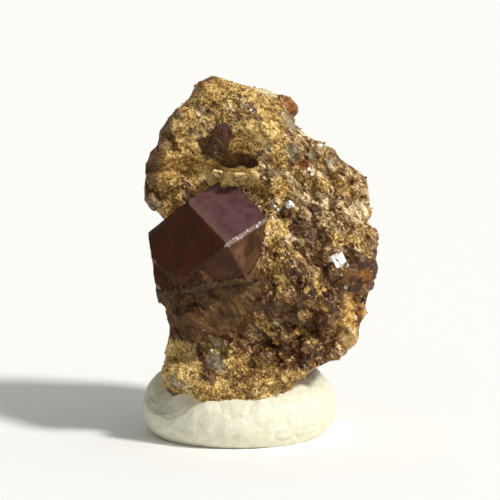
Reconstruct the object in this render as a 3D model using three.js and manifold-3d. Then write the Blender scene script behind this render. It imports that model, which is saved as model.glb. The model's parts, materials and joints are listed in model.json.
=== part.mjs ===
// A rough garnet specimen: a lump of ochre and brown garnet rock that carries one large dark crystal,
// a small dark crystal in a hollow and a cluster of amber crystals, standing in a pad of white putty.
// Millimetres, +Z up. The side with the large crystal faces -Y, and the origin is the middle of the base.
import * as THREE from "three";
import { ConvexGeometry } from "three/addons/geometries/ConvexGeometry.js";
import { mergeVertices } from "three/addons/utils/BufferGeometryUtils.js";
import Module from "manifold-3d";

const wasm = await Module();
wasm.setup();

// Driving dimensions of the rock. Each profile is a list of [height, place] pairs, from foot to top.
const LEFT_EDGE = [
  [1.2, -4.6], [3.0, -6.6], [4.3, -7.3], [5.4, -7.4], [6.2, -7.3], [7.1, -6.9], [9.2, -7.1], [9.9, -7.5],
  [11.0, -7.6], [12.5, -7.2], [15.2, -7.1], [16.2, -7.3], [17.1, -8.0], [17.8, -8.6], [18.7, -8.5],
  [19.8, -8.6], [20.7, -8.4], [21.3, -8.1], [21.7, -7.7], [22.6, -7.6], [23.4, -7.2], [24.3, -6.5],
  [25.2, -5.6], [26.1, -5.1], [26.7, -4.6], [27.0, -4.2],
];
const RIGHT_EDGE = [
  [1.2, 0.8], [3.0, 2.2], [4.3, 3.1], [4.8, 3.8], [5.3, 5.2], [5.7, 6.2], [6.3, 6.8], [8.0, 7.1],
  [8.9, 7.6], [10.3, 7.4], [11.2, 8.1], [12.2, 8.5], [14.4, 8.4], [15.1, 8.3], [16.0, 8.0], [18.2, 8.0],
  [19.3, 7.8], [19.8, 7.2], [20.6, 6.1], [21.6, 5.2], [22.3, 4.1], [23.0, 2.9], [23.6, 2.4], [24.2, 2.4],
  [25.0, 2.0], [25.6, 1.2], [26.0, 0.0], [26.5, -2.2], [27.0, -3.4],
];
const FRONT_FACE = [
  [1.2, -3.4], [3.0, -5.4], [4.6, -5.9], [6.0, -5.5], [7.6, -4.7], [9.4, -5.1], [11.2, -6.4], [12.6, -6.5],
  [14.4, -5.8], [16.0, -5.0], [17.4, -3.9], [18.5, -2.9], [19.6, -2.9], [21.0, -3.0], [23.0, -2.9],
  [25.0, -2.3], [27.0, -0.9],
];
const BACK_FACE = [
  [1.2, 3.2], [3.0, 4.6], [5.4, 5.3], [8.0, 5.9], [11.0, 6.4], [14.0, 6.6], [17.0, 6.3], [20.0, 5.3],
  [23.0, 4.0], [25.2, 2.8], [27.0, 0.9],
];
const WIDEST_AT = 0.3; // the Y at which the rock is widest, between its front and its back
const SQUARENESS = 2.35; // of the level sections: 2 is an ellipse, and more is boxier
const ROCK_RINGS = 30;
const ROCK_SEGMENTS = 44;
const SCATTER = 0.55; // how far the corners of the facets stray from even rows, as a share of a row

// Lumps that stand out of the rock: middle and half-sizes.
const LUMPS = [
  { name: "collar under the large crystal", at: [-3.4, -3.3, 10.2], half: [3.7, 3.1, 2.3] },
  { name: "cheek at its lower right", at: [0.7, -4.0, 12.0], half: [2.0, 2.7, 2.4] },
  { name: "brow over the small crystal's hollow", at: [-0.5, -3.1, 23.3], half: [1.5, 1.1, 0.9] },
  { name: "lit shelf above the large crystal", at: [-2.9, -3.2, 19.9], half: [2.3, 1.3, 0.8] },
  { name: "left shoulder", at: [-6.7, -1.2, 20.1], half: [1.6, 2.2, 2.0] },
  { name: "apron at the lower left", at: [-4.6, -4.1, 5.0], half: [2.4, 2.1, 1.5] },
  { name: "right swelling", at: [4.8, -3.6, 14.6], half: [3.0, 2.3, 3.0] },
  { name: "bulge on the back", at: [1.6, 5.0, 14.5], half: [4.2, 2.2, 4.6] },
];
const LUMP_DETAIL = 2;
// Hollows in the rock: x and z on the front, radius and depth.
const HOLLOWS = [
  { name: "hollow under the small crystal", x: -1.5, z: 21.4, radius: 1.0, depth: 1.2 },
  { name: "hollow behind the small crystal", x: -3.0, z: 22.6, radius: 0.9, depth: 0.6 },
  { name: "shaded hollow below the collar", x: -3.6, z: 7.5, radius: 1.1, depth: 0.4 },
  { name: "runnel down the apron", x: -5.2, z: 4.8, radius: 0.5, depth: 0.6 },
  { name: "dark hollow at the right edge", x: 5.9, z: 11.8, radius: 0.8, depth: 0.9 },
  { name: "groove beside the amber crystals", x: 4.6, z: 8.4, radius: 1.0, depth: 0.5 },
];
const ROUGHNESS = [
  { period: 3.4, height: 0.3 },
  { period: 1.5, height: 0.2 },
];
const FACET_SIZE = 2.1; // width of the broken facets that cover the rock
const FACET_SLOPE = 0.3;
const FACET_STEP = 0.6; // how unevenly high the facets lie, as a share of their size

// Small brown garnets that stand out of the front: x, z and half the width between opposite faces.
const FRONT_GRAINS = [
  [-4.2, 25.8, 0.8], [1.9, 24.7, 0.85], [1.1, 23.0, 0.7], [2.5, 21.7, 0.6], [4.2, 21.8, 0.65],
  [5.3, 20.8, 0.7], [7.2, 19.1, 0.75], [4.7, 18.8, 0.7], [6.1, 18.0, 0.8], [2.2, 17.4, 0.7],
  [7.5, 17.0, 0.75], [3.8, 16.9, 0.85], [5.2, 16.4, 0.7], [3.1, 15.4, 0.85], [6.5, 15.6, 0.85],
  [8.0, 15.1, 0.75], [7.2, 14.2, 0.8], [5.5, 13.5, 0.9], [2.2, 13.1, 0.75], [7.8, 13.0, 0.8],
  [3.4, 11.9, 0.75], [4.8, 11.2, 0.75], [0.4, 10.4, 0.6], [2.8, 10.2, 0.8], [5.0, 9.6, 0.8],
  [1.6, 8.4, 0.75], [3.4, 7.3, 0.8], [5.6, 6.8, 0.8], [0.2, 6.6, 0.75], [1.9, 5.6, 0.7], [-1.9, 7.4, 0.75],
  [-6.6, 5.2, 0.75], [-6.9, 9.9, 0.6], [-8.0, 18.2, 0.7], [-7.6, 20.6, 0.75], [3.4, 20.2, 0.7],
  [0.9, 19.4, 0.6], [5.9, 19.6, 0.65], [7.6, 18.2, 0.6], [1.0, 17.9, 0.55], [4.6, 14.7, 0.8],
];
const BACK_GRAINS = { count: 22, smallest: 0.6, largest: 1.15, lowest: 6, highest: 23.5 };
const GRAIN_SINK = 0.32; // depth of a grain's middle under the rock's surface, as a share of its size
const GRAIN_STRETCH = [1.25, 1, 0.85];

// The crystals. size is half the distance between opposite faces, at is the middle, and x, y and z are the
// directions of the axes that the crystals share.
const GARNET_AXES = {
  x: new THREE.Vector3(0.114, -0.949, 0.292),
  y: new THREE.Vector3(0.984, 0.064, -0.176),
  z: new THREE.Vector3(0.148, 0.308, 0.943),
};
const LARGE_GARNET = [
  { size: 4.2, at: [-3.25, -2.85, 13.85] },
  { size: 2.6, at: [-4.75, -4.35, 12.15] },
];
// The large crystal's left corner is broken off, and its root ends inside the rock.
const CRYSTAL_END = { left: -8.0, foot: 11.7, tilt: -0.16 };
const SMALL_GARNET = [
  { size: 0.72, at: [-2.9, -3.0, 22.95] },
  { size: 0.52, at: [-3.3, -3.0, 22.3] },
];
const AMBER_GARNETS = [
  { size: 1.08, at: [7.35, -2.2, 11.5] },
  { size: 0.85, at: [7.2, -1.9, 10.2] },
  { size: 1.0, at: [7.2, -1.7, 9.2] },
  { size: 1.0, at: [6.5, -2.4, 8.0] },
];
const FIT_GAP = 0.26; // clearance round each crystal in the rock, and round the rock's foot in the putty

// Driving dimensions of the putty pad.
const PUTTY = {
  middle: [-1.7, 0.3],
  halfWidth: 7.4,
  halfDepth: 6.9,
  turn: 0.22, // radians, so that its right end lies further back
  frontHeight: 4.0,
  rimRise: 0.9, // how much higher it stands at the back than at the front
  bulge: 0.3, // how far its side rolls in above and below, as a share of its radius
  rollFrom: -1.0, // radians round the bulge at the flat underside
  rollTo: 1.45, // and at the top edge
  rings: 10,
  segments: 36,
};

// A repeatable source of numbers from 0 to 1.
function randomSource(seed) {
  let state = seed;
  return () => {
    state = (state * 1664525 + 1013904223) % 4294967296;
    return state / 4294967296;
  };
}

// A number from 0 to 1 that belongs to one corner of a unit grid.
function gridNumber(i, j, k, salt = 0) {
  const value = Math.sin(i * 127.1 + j * 311.7 + k * 74.7 + salt * 53.3) * 43758.5453;
  return value - Math.floor(value);
}

// Smooth noise from -1 to 1 with bumps one unit apart.
function smoothNoise(p) {
  const cell = p.clone().floor();
  const blend = p.clone().sub(cell).toArray().map((t) => t * t * (3 - 2 * t));
  let sum = 0;
  for (let corner = 0; corner < 8; corner++) {
    const step = [corner & 1, (corner >> 1) & 1, corner >> 2];
    const weight = step.reduce((w, s, axis) => w * (s ? blend[axis] : 1 - blend[axis]), 1);
    sum += weight * gridNumber(cell.x + step[0], cell.y + step[1], cell.z + step[2]);
  }
  return 2 * sum - 1;
}

// The height of a field of tilted flat facets, each about one unit wide.
function facetNoise(p) {
  const cell = p.clone().floor();
  let nearest = Infinity;
  let height = 0;
  for (let n = 0; n < 27; n++) {
    const step = new THREE.Vector3(n % 3, Math.floor(n / 3) % 3, Math.floor(n / 9)).subScalar(1);
    const corner = cell.clone().add(step);
    const [seedX, seedY, seedZ, tiltX, tiltY, tiltZ, lift] = [1, 2, 3, 4, 5, 6, 7].map((salt) =>
      gridNumber(corner.x, corner.y, corner.z, salt),
    );
    const away = p.clone().sub(corner).sub(new THREE.Vector3(seedX, seedY, seedZ));
    if (away.length() < nearest) {
      nearest = away.length();
      const slope = new THREE.Vector3(tiltX, tiltY, tiltZ).multiplyScalar(2).subScalar(1);
      height = away.dot(slope) + FACET_STEP * (lift - 0.5);
    }
  }
  return height;
}

// Reads a profile at one height.
function readProfile(profile, height) {
  const next = profile.findIndex(([h]) => h > height);
  if (next === -1) return profile.at(-1)[1];
  if (next === 0) return profile[0][1];
  const [[h0, v0], [h1, v1]] = [profile[next - 1], profile[next]];
  return v0 + ((v1 - v0) * (height - h0)) / (h1 - h0);
}

// The rock's level section at one height: its middle and its half-sizes.
function sectionAt(height) {
  const left = readProfile(LEFT_EDGE, height);
  const right = readProfile(RIGHT_EDGE, height);
  return {
    middle: (left + right) / 2,
    half: (right - left) / 2,
    front: WIDEST_AT - readProfile(FRONT_FACE, height),
    back: readProfile(BACK_FACE, height) - WIDEST_AT,
  };
}

// The point of the rock's smooth front that is seen at x and z.
function frontPoint(x, z) {
  const s = sectionAt(z);
  const across = Math.min(0.97, Math.abs((x - s.middle) / s.half));
  const depth = s.front * (1 - across ** SQUARENESS) ** (1 / SQUARENESS);
  return new THREE.Vector3(x, WIDEST_AT - depth, z);
}

// The point of the rock's smooth surface at an angle round a level section. The front is at -90 degrees.
function sectionPoint(angle, z) {
  const s = sectionAt(z);
  const bend = (value) => Math.sign(value) * Math.abs(value) ** (2 / SQUARENESS);
  const [across, along] = [bend(Math.cos(angle)), bend(Math.sin(angle))];
  return new THREE.Vector3(s.middle + s.half * across, WIDEST_AT + (along < 0 ? s.front : s.back) * along, z);
}

// How far the rough surface stands out of the smooth one at a point.
function reliefAt(p) {
  let height = facetNoise(p.clone().divideScalar(FACET_SIZE)) * FACET_SLOPE * FACET_SIZE;
  for (const bumps of ROUGHNESS) height += smoothNoise(p.clone().divideScalar(bumps.period)) * bumps.height;
  for (const { x, z, radius, depth } of HOLLOWS) {
    height -= depth * Math.exp(-p.distanceToSquared(frontPoint(x, z)) / (2 * radius * radius));
  }
  return height;
}

// A closed surface through rings of points, from the lowest ring to the highest, with a fan at each end.
function ringSolid(rings) {
  const count = rings[0].length;
  const middle = (ring) => ring.reduce((sum, p) => sum.add(p), new THREE.Vector3()).divideScalar(count);
  const points = [...rings.flat(), middle(rings[0]), middle(rings.at(-1))];
  const [foot, top] = [points.length - 2, points.length - 1];
  const faces = [];
  rings.forEach((ring, row) => {
    for (let i = 0; i < count; i++) {
      const [a, b] = [row * count + i, row * count + ((i + 1) % count)];
      if (row === 0) faces.push(foot, b, a);
      if (row === rings.length - 1) faces.push(top, a, b);
      else faces.push(a, b, b + count, a, b + count, a + count);
    }
  });
  const geometry = new THREE.BufferGeometry().setFromPoints(points);
  geometry.setIndex(faces);
  return solidOf(geometry);
}

// A three.js geometry as a manifold-3d solid.
function solidOf(geometry) {
  const bare = geometry.clone();
  bare.deleteAttribute("normal");
  bare.deleteAttribute("uv");
  const merged = mergeVertices(bare, 1e-4);
  return new wasm.Manifold(
    new wasm.Mesh({
      numProp: 3,
      vertProperties: merged.attributes.position.array,
      triVerts: new Uint32Array(merged.index.array),
    }),
  );
}

// A manifold-3d solid as a three.js geometry with flat faces.
function geometryOf(solid) {
  const mesh = solid.getMesh();
  const geometry = new THREE.BufferGeometry();
  geometry.setAttribute("position", new THREE.BufferAttribute(new Float32Array(mesh.vertProperties), 3));
  geometry.setIndex(new THREE.BufferAttribute(mesh.triVerts, 1));
  const flat = geometry.toNonIndexed();
  flat.computeVertexNormals();
  return flat;
}

// A garnet crystal: a rhombic dodecahedron with 12 diamond faces. size is half its width between faces.
function garnetSolid(size, at, axes, stretch = [1, 1, 1]) {
  const step = size / Math.SQRT2;
  const corners = [];
  for (const sign of [-2, 2]) corners.push([sign, 0, 0], [0, sign, 0], [0, 0, sign]);
  for (const i of [-1, 1]) for (const j of [-1, 1]) for (const k of [-1, 1]) corners.push([i, j, k]);
  const points = corners.map(([i, j, k]) =>
    new THREE.Vector3(...at)
      .addScaledVector(axes.x, i * step * stretch[0])
      .addScaledVector(axes.y, j * step * stretch[1])
      .addScaledVector(axes.z, k * step * stretch[2]),
  );
  return solidOf(new ConvexGeometry(points));
}

// Three axes at right angles that point at random.
function randomAxes(random) {
  const turn = new THREE.Euler(...[1, 2, 3].map(() => random() * 2 * Math.PI));
  const axis = (x, y, z) => new THREE.Vector3(x, y, z).applyEuler(turn);
  return { x: axis(1, 0, 0), y: axis(0, 1, 0), z: axis(0, 0, 1) };
}

// Several crystals grown into one, each larger than stated by grow.
function garnetGroup(crystals, grow = 0) {
  return crystals
    .map(({ size, at }) => garnetSolid(size + grow, at, GARNET_AXES))
    .reduce((whole, crystal) => whole.add(crystal));
}

// The large crystal, with its left corner broken away and its root ending in the rock.
function largeGarnet(grow = 0) {
  const reach = 40;
  const keep = new THREE.BoxGeometry(reach, reach, reach);
  keep.translate(reach / 2 - grow, 0, reach / 2 - grow);
  keep.rotateY(CRYSTAL_END.tilt);
  keep.translate(CRYSTAL_END.left, 0, CRYSTAL_END.foot);
  return garnetGroup(LARGE_GARNET, grow).intersect(solidOf(keep));
}

// The rock's main mass, larger than stated by grow.
function rockMass(grow = 0) {
  const [foot, top] = [LEFT_EDGE[0][0], LEFT_EDGE.at(-1)[0]];
  const rowHeight = (top - foot) / (ROCK_RINGS - 1);
  const rings = [];
  for (let row = 0; row < ROCK_RINGS; row++) {
    const atEnd = row === 0 || row === ROCK_RINGS - 1;
    const ring = [];
    for (let i = 0; i < ROCK_SEGMENTS; i++) {
      const stray = [8, 9].map((salt) => (gridNumber(i, row, 0, salt) - 0.5) * SCATTER);
      const angle = (2 * Math.PI * (i + (row % 2) / 2 + stray[0])) / ROCK_SEGMENTS;
      const z = foot + rowHeight * (row + (atEnd ? 0 : stray[1]));
      const s = sectionAt(z);
      const point = sectionPoint(angle, z);
      const outward = new THREE.Vector3(point.x - s.middle, point.y - WIDEST_AT, 0).normalize();
      const fade = Math.min(1, s.half / 3);
      ring.push(point.addScaledVector(outward, reliefAt(point) * fade + grow));
    }
    rings.push(ring);
  }
  rings[0].forEach((point) => (point.z -= grow));
  return ringSolid(rings);
}

// One rough lump on the rock.
function rockLump({ at, half }, grow) {
  const geometry = mergeVertices(new THREE.IcosahedronGeometry(1, LUMP_DETAIL).deleteAttribute("uv"));
  geometry.deleteAttribute("normal");
  const position = geometry.attributes.position;
  for (let i = 0; i < position.count; i++) {
    const direction = new THREE.Vector3().fromBufferAttribute(position, i);
    const point = direction.clone().multiply(new THREE.Vector3(...half)).add(new THREE.Vector3(...at));
    point.addScaledVector(direction, reliefAt(point) + grow);
    position.setXYZ(i, ...point.toArray());
  }
  return solidOf(geometry);
}

// The rock with its lumps, larger than stated by grow.
function rockBody(grow = 0) {
  return LUMPS.reduce((rock, lump) => rock.add(rockLump(lump, grow)), rockMass(grow));
}

// The small garnets that cover the rock, front and back.
function rockGrains() {
  const random = randomSource(7);
  const between = (low, high) => low + (high - low) * random();
  const places = FRONT_GRAINS.map(([x, z, size]) => ({ at: frontPoint(x, z), size }));
  for (let n = 0; n < BACK_GRAINS.count; n++) {
    const angle = between(0.08, 0.92) * Math.PI;
    const at = sectionPoint(angle, between(BACK_GRAINS.lowest, BACK_GRAINS.highest));
    places.push({ at, size: between(BACK_GRAINS.smallest, BACK_GRAINS.largest) });
  }
  return places.map(({ at, size }) => {
    const inward = new THREE.Vector3(sectionAt(at.z).middle, WIDEST_AT, at.z).sub(at).normalize();
    const middle = at.addScaledVector(inward, GRAIN_SINK * size);
    return garnetSolid(size, middle.toArray(), randomAxes(random), GRAIN_STRETCH);
  });
}

// The largest of the separate bodies of a solid.
function largestBody(solid) {
  return solid.decompose().reduce((best, body) => (body.volume() > best.volume() ? body : best));
}

// The rock with its grains, and with a pocket for each crystal that is a piece of its own.
function hostRock() {
  const whole = rockGrains().reduce((rock, grain) => rock.add(grain), rockBody());
  return largestBody(
    whole
      .subtract(largeGarnet(FIT_GAP))
      .subtract(garnetGroup(SMALL_GARNET, FIT_GAP))
      .subtract(garnetGroup(AMBER_GARNETS, FIT_GAP)),
  );
}

// The putty pad, pressed up round the foot of the rock.
function puttyFoot() {
  const { middle, halfWidth, halfDepth, turn, rollFrom, rollTo } = PUTTY;
  const rings = [];
  for (let row = 0; row < PUTTY.rings; row++) {
    const roll = rollFrom + ((rollTo - rollFrom) * row) / (PUTTY.rings - 1);
    const reach = 1 - PUTTY.bulge * (1 - Math.cos(roll));
    const climb = (Math.sin(roll) - Math.sin(rollFrom)) / (Math.sin(rollTo) - Math.sin(rollFrom));
    const ring = [];
    for (let i = 0; i < PUTTY.segments; i++) {
      const angle = (2 * Math.PI * i) / PUTTY.segments;
      const height = PUTTY.frontHeight + (PUTTY.rimRise * (1 + Math.sin(angle + turn))) / 2;
      const point = new THREE.Vector3(halfWidth * Math.cos(angle), halfDepth * Math.sin(angle), 0);
      point.multiplyScalar(reach).applyAxisAngle(new THREE.Vector3(0, 0, 1), turn);
      ring.push(point.add(new THREE.Vector3(middle[0], middle[1], height * climb)));
    }
    rings.push(ring);
  }
  return largestBody(ringSolid(rings).subtract(rockBody(FIT_GAP)));
}

// A named piece with its own finish.
function piece(name, solid, color, roughness) {
  const material = new THREE.MeshStandardMaterial({ color, roughness, metalness: 0, flatShading: true });
  const mesh = new THREE.Mesh(geometryOf(solid), material);
  mesh.name = name;
  return mesh;
}

const specimen = new THREE.Group();
specimen.name = "garnet_specimen";
specimen.add(
  piece("host_rock", hostRock(), 0x8a6534, 0.75),
  piece("large_garnet", largeGarnet(), 0x3d211d, 0.3),
  piece("small_garnet", garnetGroup(SMALL_GARNET), 0x3a1d20, 0.3),
  piece("amber_garnets", garnetGroup(AMBER_GARNETS), 0x8a4a1a, 0.25),
  piece("putty_foot", puttyFoot(), 0xdfe0cf, 0.8),
);

// The origin goes to the middle of the base.
const box = new THREE.Box3().setFromObject(specimen);
specimen.position.set(-(box.min.x + box.max.x) / 2, -(box.min.y + box.max.y) / 2, -box.min.z);

export default specimen;
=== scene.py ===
"""A rough garnet specimen: dark and amber garnets on a lump of ochre garnet rock, in a foot of white putty.

Shapes are worked out in millimetres and written to the meshes in metres.
"""

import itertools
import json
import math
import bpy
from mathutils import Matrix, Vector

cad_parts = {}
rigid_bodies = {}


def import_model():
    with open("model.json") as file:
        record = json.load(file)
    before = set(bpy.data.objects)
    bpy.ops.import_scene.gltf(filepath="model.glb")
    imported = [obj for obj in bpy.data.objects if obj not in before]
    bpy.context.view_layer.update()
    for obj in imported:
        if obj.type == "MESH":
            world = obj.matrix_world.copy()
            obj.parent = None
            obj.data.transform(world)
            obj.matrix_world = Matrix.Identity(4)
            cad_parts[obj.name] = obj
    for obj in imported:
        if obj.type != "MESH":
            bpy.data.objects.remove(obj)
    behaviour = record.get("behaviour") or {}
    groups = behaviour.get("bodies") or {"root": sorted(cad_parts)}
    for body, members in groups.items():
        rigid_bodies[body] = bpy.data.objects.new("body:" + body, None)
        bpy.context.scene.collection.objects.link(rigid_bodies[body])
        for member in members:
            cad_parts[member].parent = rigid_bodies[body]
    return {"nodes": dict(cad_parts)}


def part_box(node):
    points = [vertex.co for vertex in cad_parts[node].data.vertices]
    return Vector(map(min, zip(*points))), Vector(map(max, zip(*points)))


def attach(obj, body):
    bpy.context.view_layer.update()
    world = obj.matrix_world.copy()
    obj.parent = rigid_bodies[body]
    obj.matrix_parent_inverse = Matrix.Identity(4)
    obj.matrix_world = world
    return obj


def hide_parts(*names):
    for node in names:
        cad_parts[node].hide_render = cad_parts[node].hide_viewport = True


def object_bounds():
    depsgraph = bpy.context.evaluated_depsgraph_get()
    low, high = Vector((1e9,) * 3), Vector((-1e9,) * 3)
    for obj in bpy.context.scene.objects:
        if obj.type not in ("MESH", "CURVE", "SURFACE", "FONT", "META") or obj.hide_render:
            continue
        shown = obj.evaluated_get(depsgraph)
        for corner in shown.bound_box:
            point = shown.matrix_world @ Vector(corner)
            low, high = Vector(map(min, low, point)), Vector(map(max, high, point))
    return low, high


bl_info = {
    "name": "Garnet Specimen",
    "version": (1, 0, 0),
    "blender": (4, 5, 0),
    "location": "3D View > Sidebar > Garnet",
    "description": "Builds a rough garnet specimen on its rock, standing in a foot of putty",
    "category": "Object",
}

import bmesh
import bpy
import numpy as np
from bpy.props import FloatProperty, FloatVectorProperty, IntProperty, PointerProperty
from bpy.types import Operator, Panel, PropertyGroup
from mathutils import Vector
from mathutils.bvhtree import BVHTree

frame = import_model()
CAD_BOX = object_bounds()

MM = 0.001
FAR_OFF = 1e9  # further than anything
FIT_GAP = 0.26  # clearance round the crystals in the solid rock
FRONT_TILT = math.radians(8.5)  # the front is seen from this much above
FRONT = np.array([0.0, -math.cos(FRONT_TILT), math.sin(FRONT_TILT)])
FRONT_RIGHT = np.array([1.0, 0.0, 0.0])  # right and up, as seen from the front
FRONT_RISE = np.array([0.0, math.sin(FRONT_TILT), math.cos(FRONT_TILT)])
KEY_DIRECTION = (0.72, -0.55, 0.8)  # towards the main light, on the upper right

# The crystals: half the distance between opposite faces, and the middle. They share their axes.
GARNET_AXES = np.array([[0.114, -0.949, 0.292], [0.984, 0.064, -0.176], [0.148, 0.308, 0.943]])
LARGE_GARNET = ((4.2, (-3.25, -2.85, 13.85)), (2.6, (-4.75, -4.35, 12.15)), (1.25, (-6.55, -3.9, 13.1)))
SMALL_GARNET = ((0.72, (-2.9, -3.0, 22.95)), (0.52, (-3.3, -3.0, 22.3)))
AMBER_GARNETS = (
    (1.08, (7.35, -2.2, 11.5)),
    (0.85, (7.2, -1.9, 10.2)),
    (1.0, (7.2, -1.7, 9.2)),
    (1.0, (6.5, -2.4, 8.0)),
)
# The large crystal ends at two planes: the outward direction of each. Both pass through END_AT.
LARGE_ENDS = ((-0.987, 0.0, -0.159), (0.159, 0.0, -0.987))
END_AT = (-8.0, 0.0, 11.7)
# Narrow faces along the large crystal's edges: indices, and the depth they cut off the edge.
LARGE_STRIPS = (
    ((2, 1, 1), 0.05), ((2, -1, 1), 0.05), ((2, 1, -1), 0.03), ((2, -1, -1), 0.02), ((1, -2, 1), 0.03),
)
THICKER = {(0, -1, 1): 0.3}  # the face that lies further out than the rest, by its indices
LEFT_END_CUT = 0.22  # how far the surface's left end lies inside the solid's


# Numbers and noise

def cell_numbers(cells, salt):
    """One repeatable number from 0 to 1 for each whole-number grid cell."""
    i, j, k = (cells[:, axis].astype(np.int64).astype(np.uint32) for axis in range(3))
    mixed = i * np.uint32(73856093) ^ j * np.uint32(19349663) ^ k * np.uint32(83492791)
    mixed ^= np.uint32((salt * 2654435761) % 2**32)
    mixed ^= mixed >> np.uint32(15)
    mixed *= np.uint32(0x2C1B3C6D)
    mixed ^= mixed >> np.uint32(12)
    mixed *= np.uint32(0x297A2D39)
    mixed ^= mixed >> np.uint32(15)
    return mixed.astype(np.float64) / 2**32


def smooth_noise(points, period, salt=0):
    """Smooth noise from -1 to 1 with bumps about one period apart."""
    scaled = points / period
    cells = np.floor(scaled)
    part = scaled - cells
    blend = part * part * (3 - 2 * part)
    total = np.zeros(len(points))
    for corner in range(8):
        step = np.array([corner & 1, (corner >> 1) & 1, corner >> 2])
        weight = np.prod(np.where(step, blend, 1 - blend), axis=1)
        total += weight * cell_numbers(cells + step, salt)
    return 2 * total - 1


def cloud_noise(points, period, octaves=3, salt=0):
    """Smooth noise with finer and finer bumps added."""
    total = np.zeros(len(points))
    for octave in range(octaves):
        total += smooth_noise(points, period / 2**octave, salt + octave) / 2**octave
    return total / (2 - 0.5 ** (octaves - 1))


def broken_cells(points, period, salt=0):
    """Splits space into cells like broken grains. Returns for each point the height of its grain's tilted
    facet, the distance to the nearest seam between grains, and a number that belongs to its grain."""
    scaled = points / period
    home = np.floor(scaled)
    first = np.full(len(points), 9.0)
    second = np.full(len(points), 9.0)
    facet = np.zeros(len(points))
    tone = np.zeros(len(points))
    for n in range(27):
        cells = home + np.array([n % 3 - 1, n // 3 % 3 - 1, n // 9 - 1])
        seeds = cells + np.stack([cell_numbers(cells, salt + s) for s in (1, 2, 3)], axis=1)
        away = scaled - seeds
        distance = np.linalg.norm(away, axis=1)
        nearer = distance < first
        second = np.where(nearer, first, np.minimum(second, distance))
        tilt = 2 * np.stack([cell_numbers(cells, salt + s) for s in (4, 5, 6)], axis=1) - 1
        lift = cell_numbers(cells, salt + 7)
        facet = np.where(nearer, np.sum(away * tilt, axis=1) + 0.7 * (lift - 0.5), facet)
        tone = np.where(nearer, cell_numbers(cells, salt + 8), tone)
        first = np.where(nearer, distance, first)
    return facet, (second - first) * period, tone


def ramp(values, low, high):
    """A smooth rise from 0 at low to 1 at high, or a fall where high is the smaller."""
    t = np.clip((values - low) / (high - low), 0, 1)
    return t * t * (3 - 2 * t)


def drift(points, period, salt):
    """Smooth noise in each of the three directions."""
    return np.stack([smooth_noise(points, period, salt + axis) for axis in range(3)], axis=1)


def front_view(points):
    """How far to the right and how high points appear from the front, in millimetres."""
    return np.stack([points @ FRONT_RIGHT, points @ FRONT_RISE], axis=1)


def nearest_on_line(places, start, end):
    """The spot on a straight line that is nearest to each flat place, and how far away it is."""
    along = np.subtract(end, start)
    share = np.clip((places - start) @ along / (along @ along), 0, 1)
    spots = start + share[:, None] * along
    return spots, np.linalg.norm(places - spots, axis=1)


def nearest_on_outline(places, outline):
    """The same for a closed outline, with a distance that is negative inside it."""
    nearest = places.copy()
    distance = np.full(len(places), FAR_OFF)
    inside = np.zeros(len(places), bool)
    for start, end in zip(outline, np.roll(outline, -1, axis=0)):
        spots, away = nearest_on_line(places, start, end)
        nearest = np.where((away < distance)[:, None], spots, nearest)
        distance = np.minimum(distance, away)
        along = end - start
        crosses = (start[1] > places[:, 1]) != (end[1] > places[:, 1])
        at = start[0] + (places[:, 1] - start[1]) / (along[1] if along[1] else 1e-9) * along[0]
        inside ^= crosses & (places[:, 0] < at)
    return nearest, np.where(inside, -distance, distance)


def outside_outline(places, outline):
    """How far each flat place lies outside a closed outline, negative inside."""
    return nearest_on_outline(places, outline)[1]


def drawn_inside(points, outline):
    """Moves what sticks out beyond an outline, as seen from the front, roughly onto it."""
    ragged = np.stack([cloud_noise(points, 0.9, 2, 170), cloud_noise(points, 0.9, 2, 174)], axis=1)
    places = front_view(points) + 0.2 * ragged
    nearest, distance = nearest_on_outline(places, outline)
    step = np.where((distance > 0)[:, None], nearest - places, 0)
    return points + step[:, :1] * FRONT_RIGHT + step[:, 1:] * FRONT_RISE


# Crystals as planes

def unit(vector):
    return vector / np.linalg.norm(vector)


# The outward directions of the large crystal's three faces that meet at the front.
UPPER_FACE = unit(GARNET_AXES[0] + GARNET_AXES[2])
RIGHT_FACE = unit(GARNET_AXES[0] + GARNET_AXES[1])
LEFT_FACE = unit(GARNET_AXES[0] - GARNET_AXES[1])


def crystal_planes(size, at, axes=GARNET_AXES, strips=(), ends=(), thicker=None):
    """Outward normals and offsets of a rhombic dodecahedron's 12 faces, of strips that trim its edges and of
    planes that end it."""
    normals, offsets = [], []
    for indices in itertools.product((-1, 0, 1), repeat=3):
        if indices.count(0) == 1:
            normals.append(unit(np.array(indices) @ axes))
            offsets.append(size + (thicker or {}).get(indices, 0))
    for indices, depth in strips:
        normals.append(unit(np.array(indices) @ axes))
        offsets.append(size * 2 / math.sqrt(3) - depth)
    offsets = np.array(offsets) + np.array(normals) @ np.array(at)
    normals = np.array(normals + [np.array(direction) for direction, _ in ends])
    return normals, np.concatenate([offsets, [offset for _, offset in ends]])


def corners_of(planes):
    """The corners of the convex crystal inside some planes."""
    normals, offsets = planes
    corners = []
    for trio in itertools.combinations(range(len(offsets)), 3):
        matrix = normals[list(trio)]
        if abs(np.linalg.det(matrix)) > 1e-4:
            corner = np.linalg.solve(matrix, offsets[list(trio)])
            if np.all(normals @ corner <= offsets + 1e-6):
                corners.append(corner)
    return np.unique(np.round(corners, 5), axis=0)


def distance_to_planes(points, planes):
    """How far outside a convex crystal each point is, and the outward normal of its nearest face."""
    normals, offsets = planes
    heights = points @ normals.T - offsets
    nearest = np.argmax(heights, axis=1)
    return heights[np.arange(len(points)), nearest], normals[nearest]


def distance_to_group(points, group):
    """The same for several crystals grown into one."""
    best, normals = distance_to_planes(points, group[0])
    for planes in group[1:]:
        other, other_normals = distance_to_planes(points, planes)
        nearer = other < best
        best = np.where(nearer, other, best)
        normals = np.where(nearer[:, None], other_normals, normals)
    return best, normals


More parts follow.
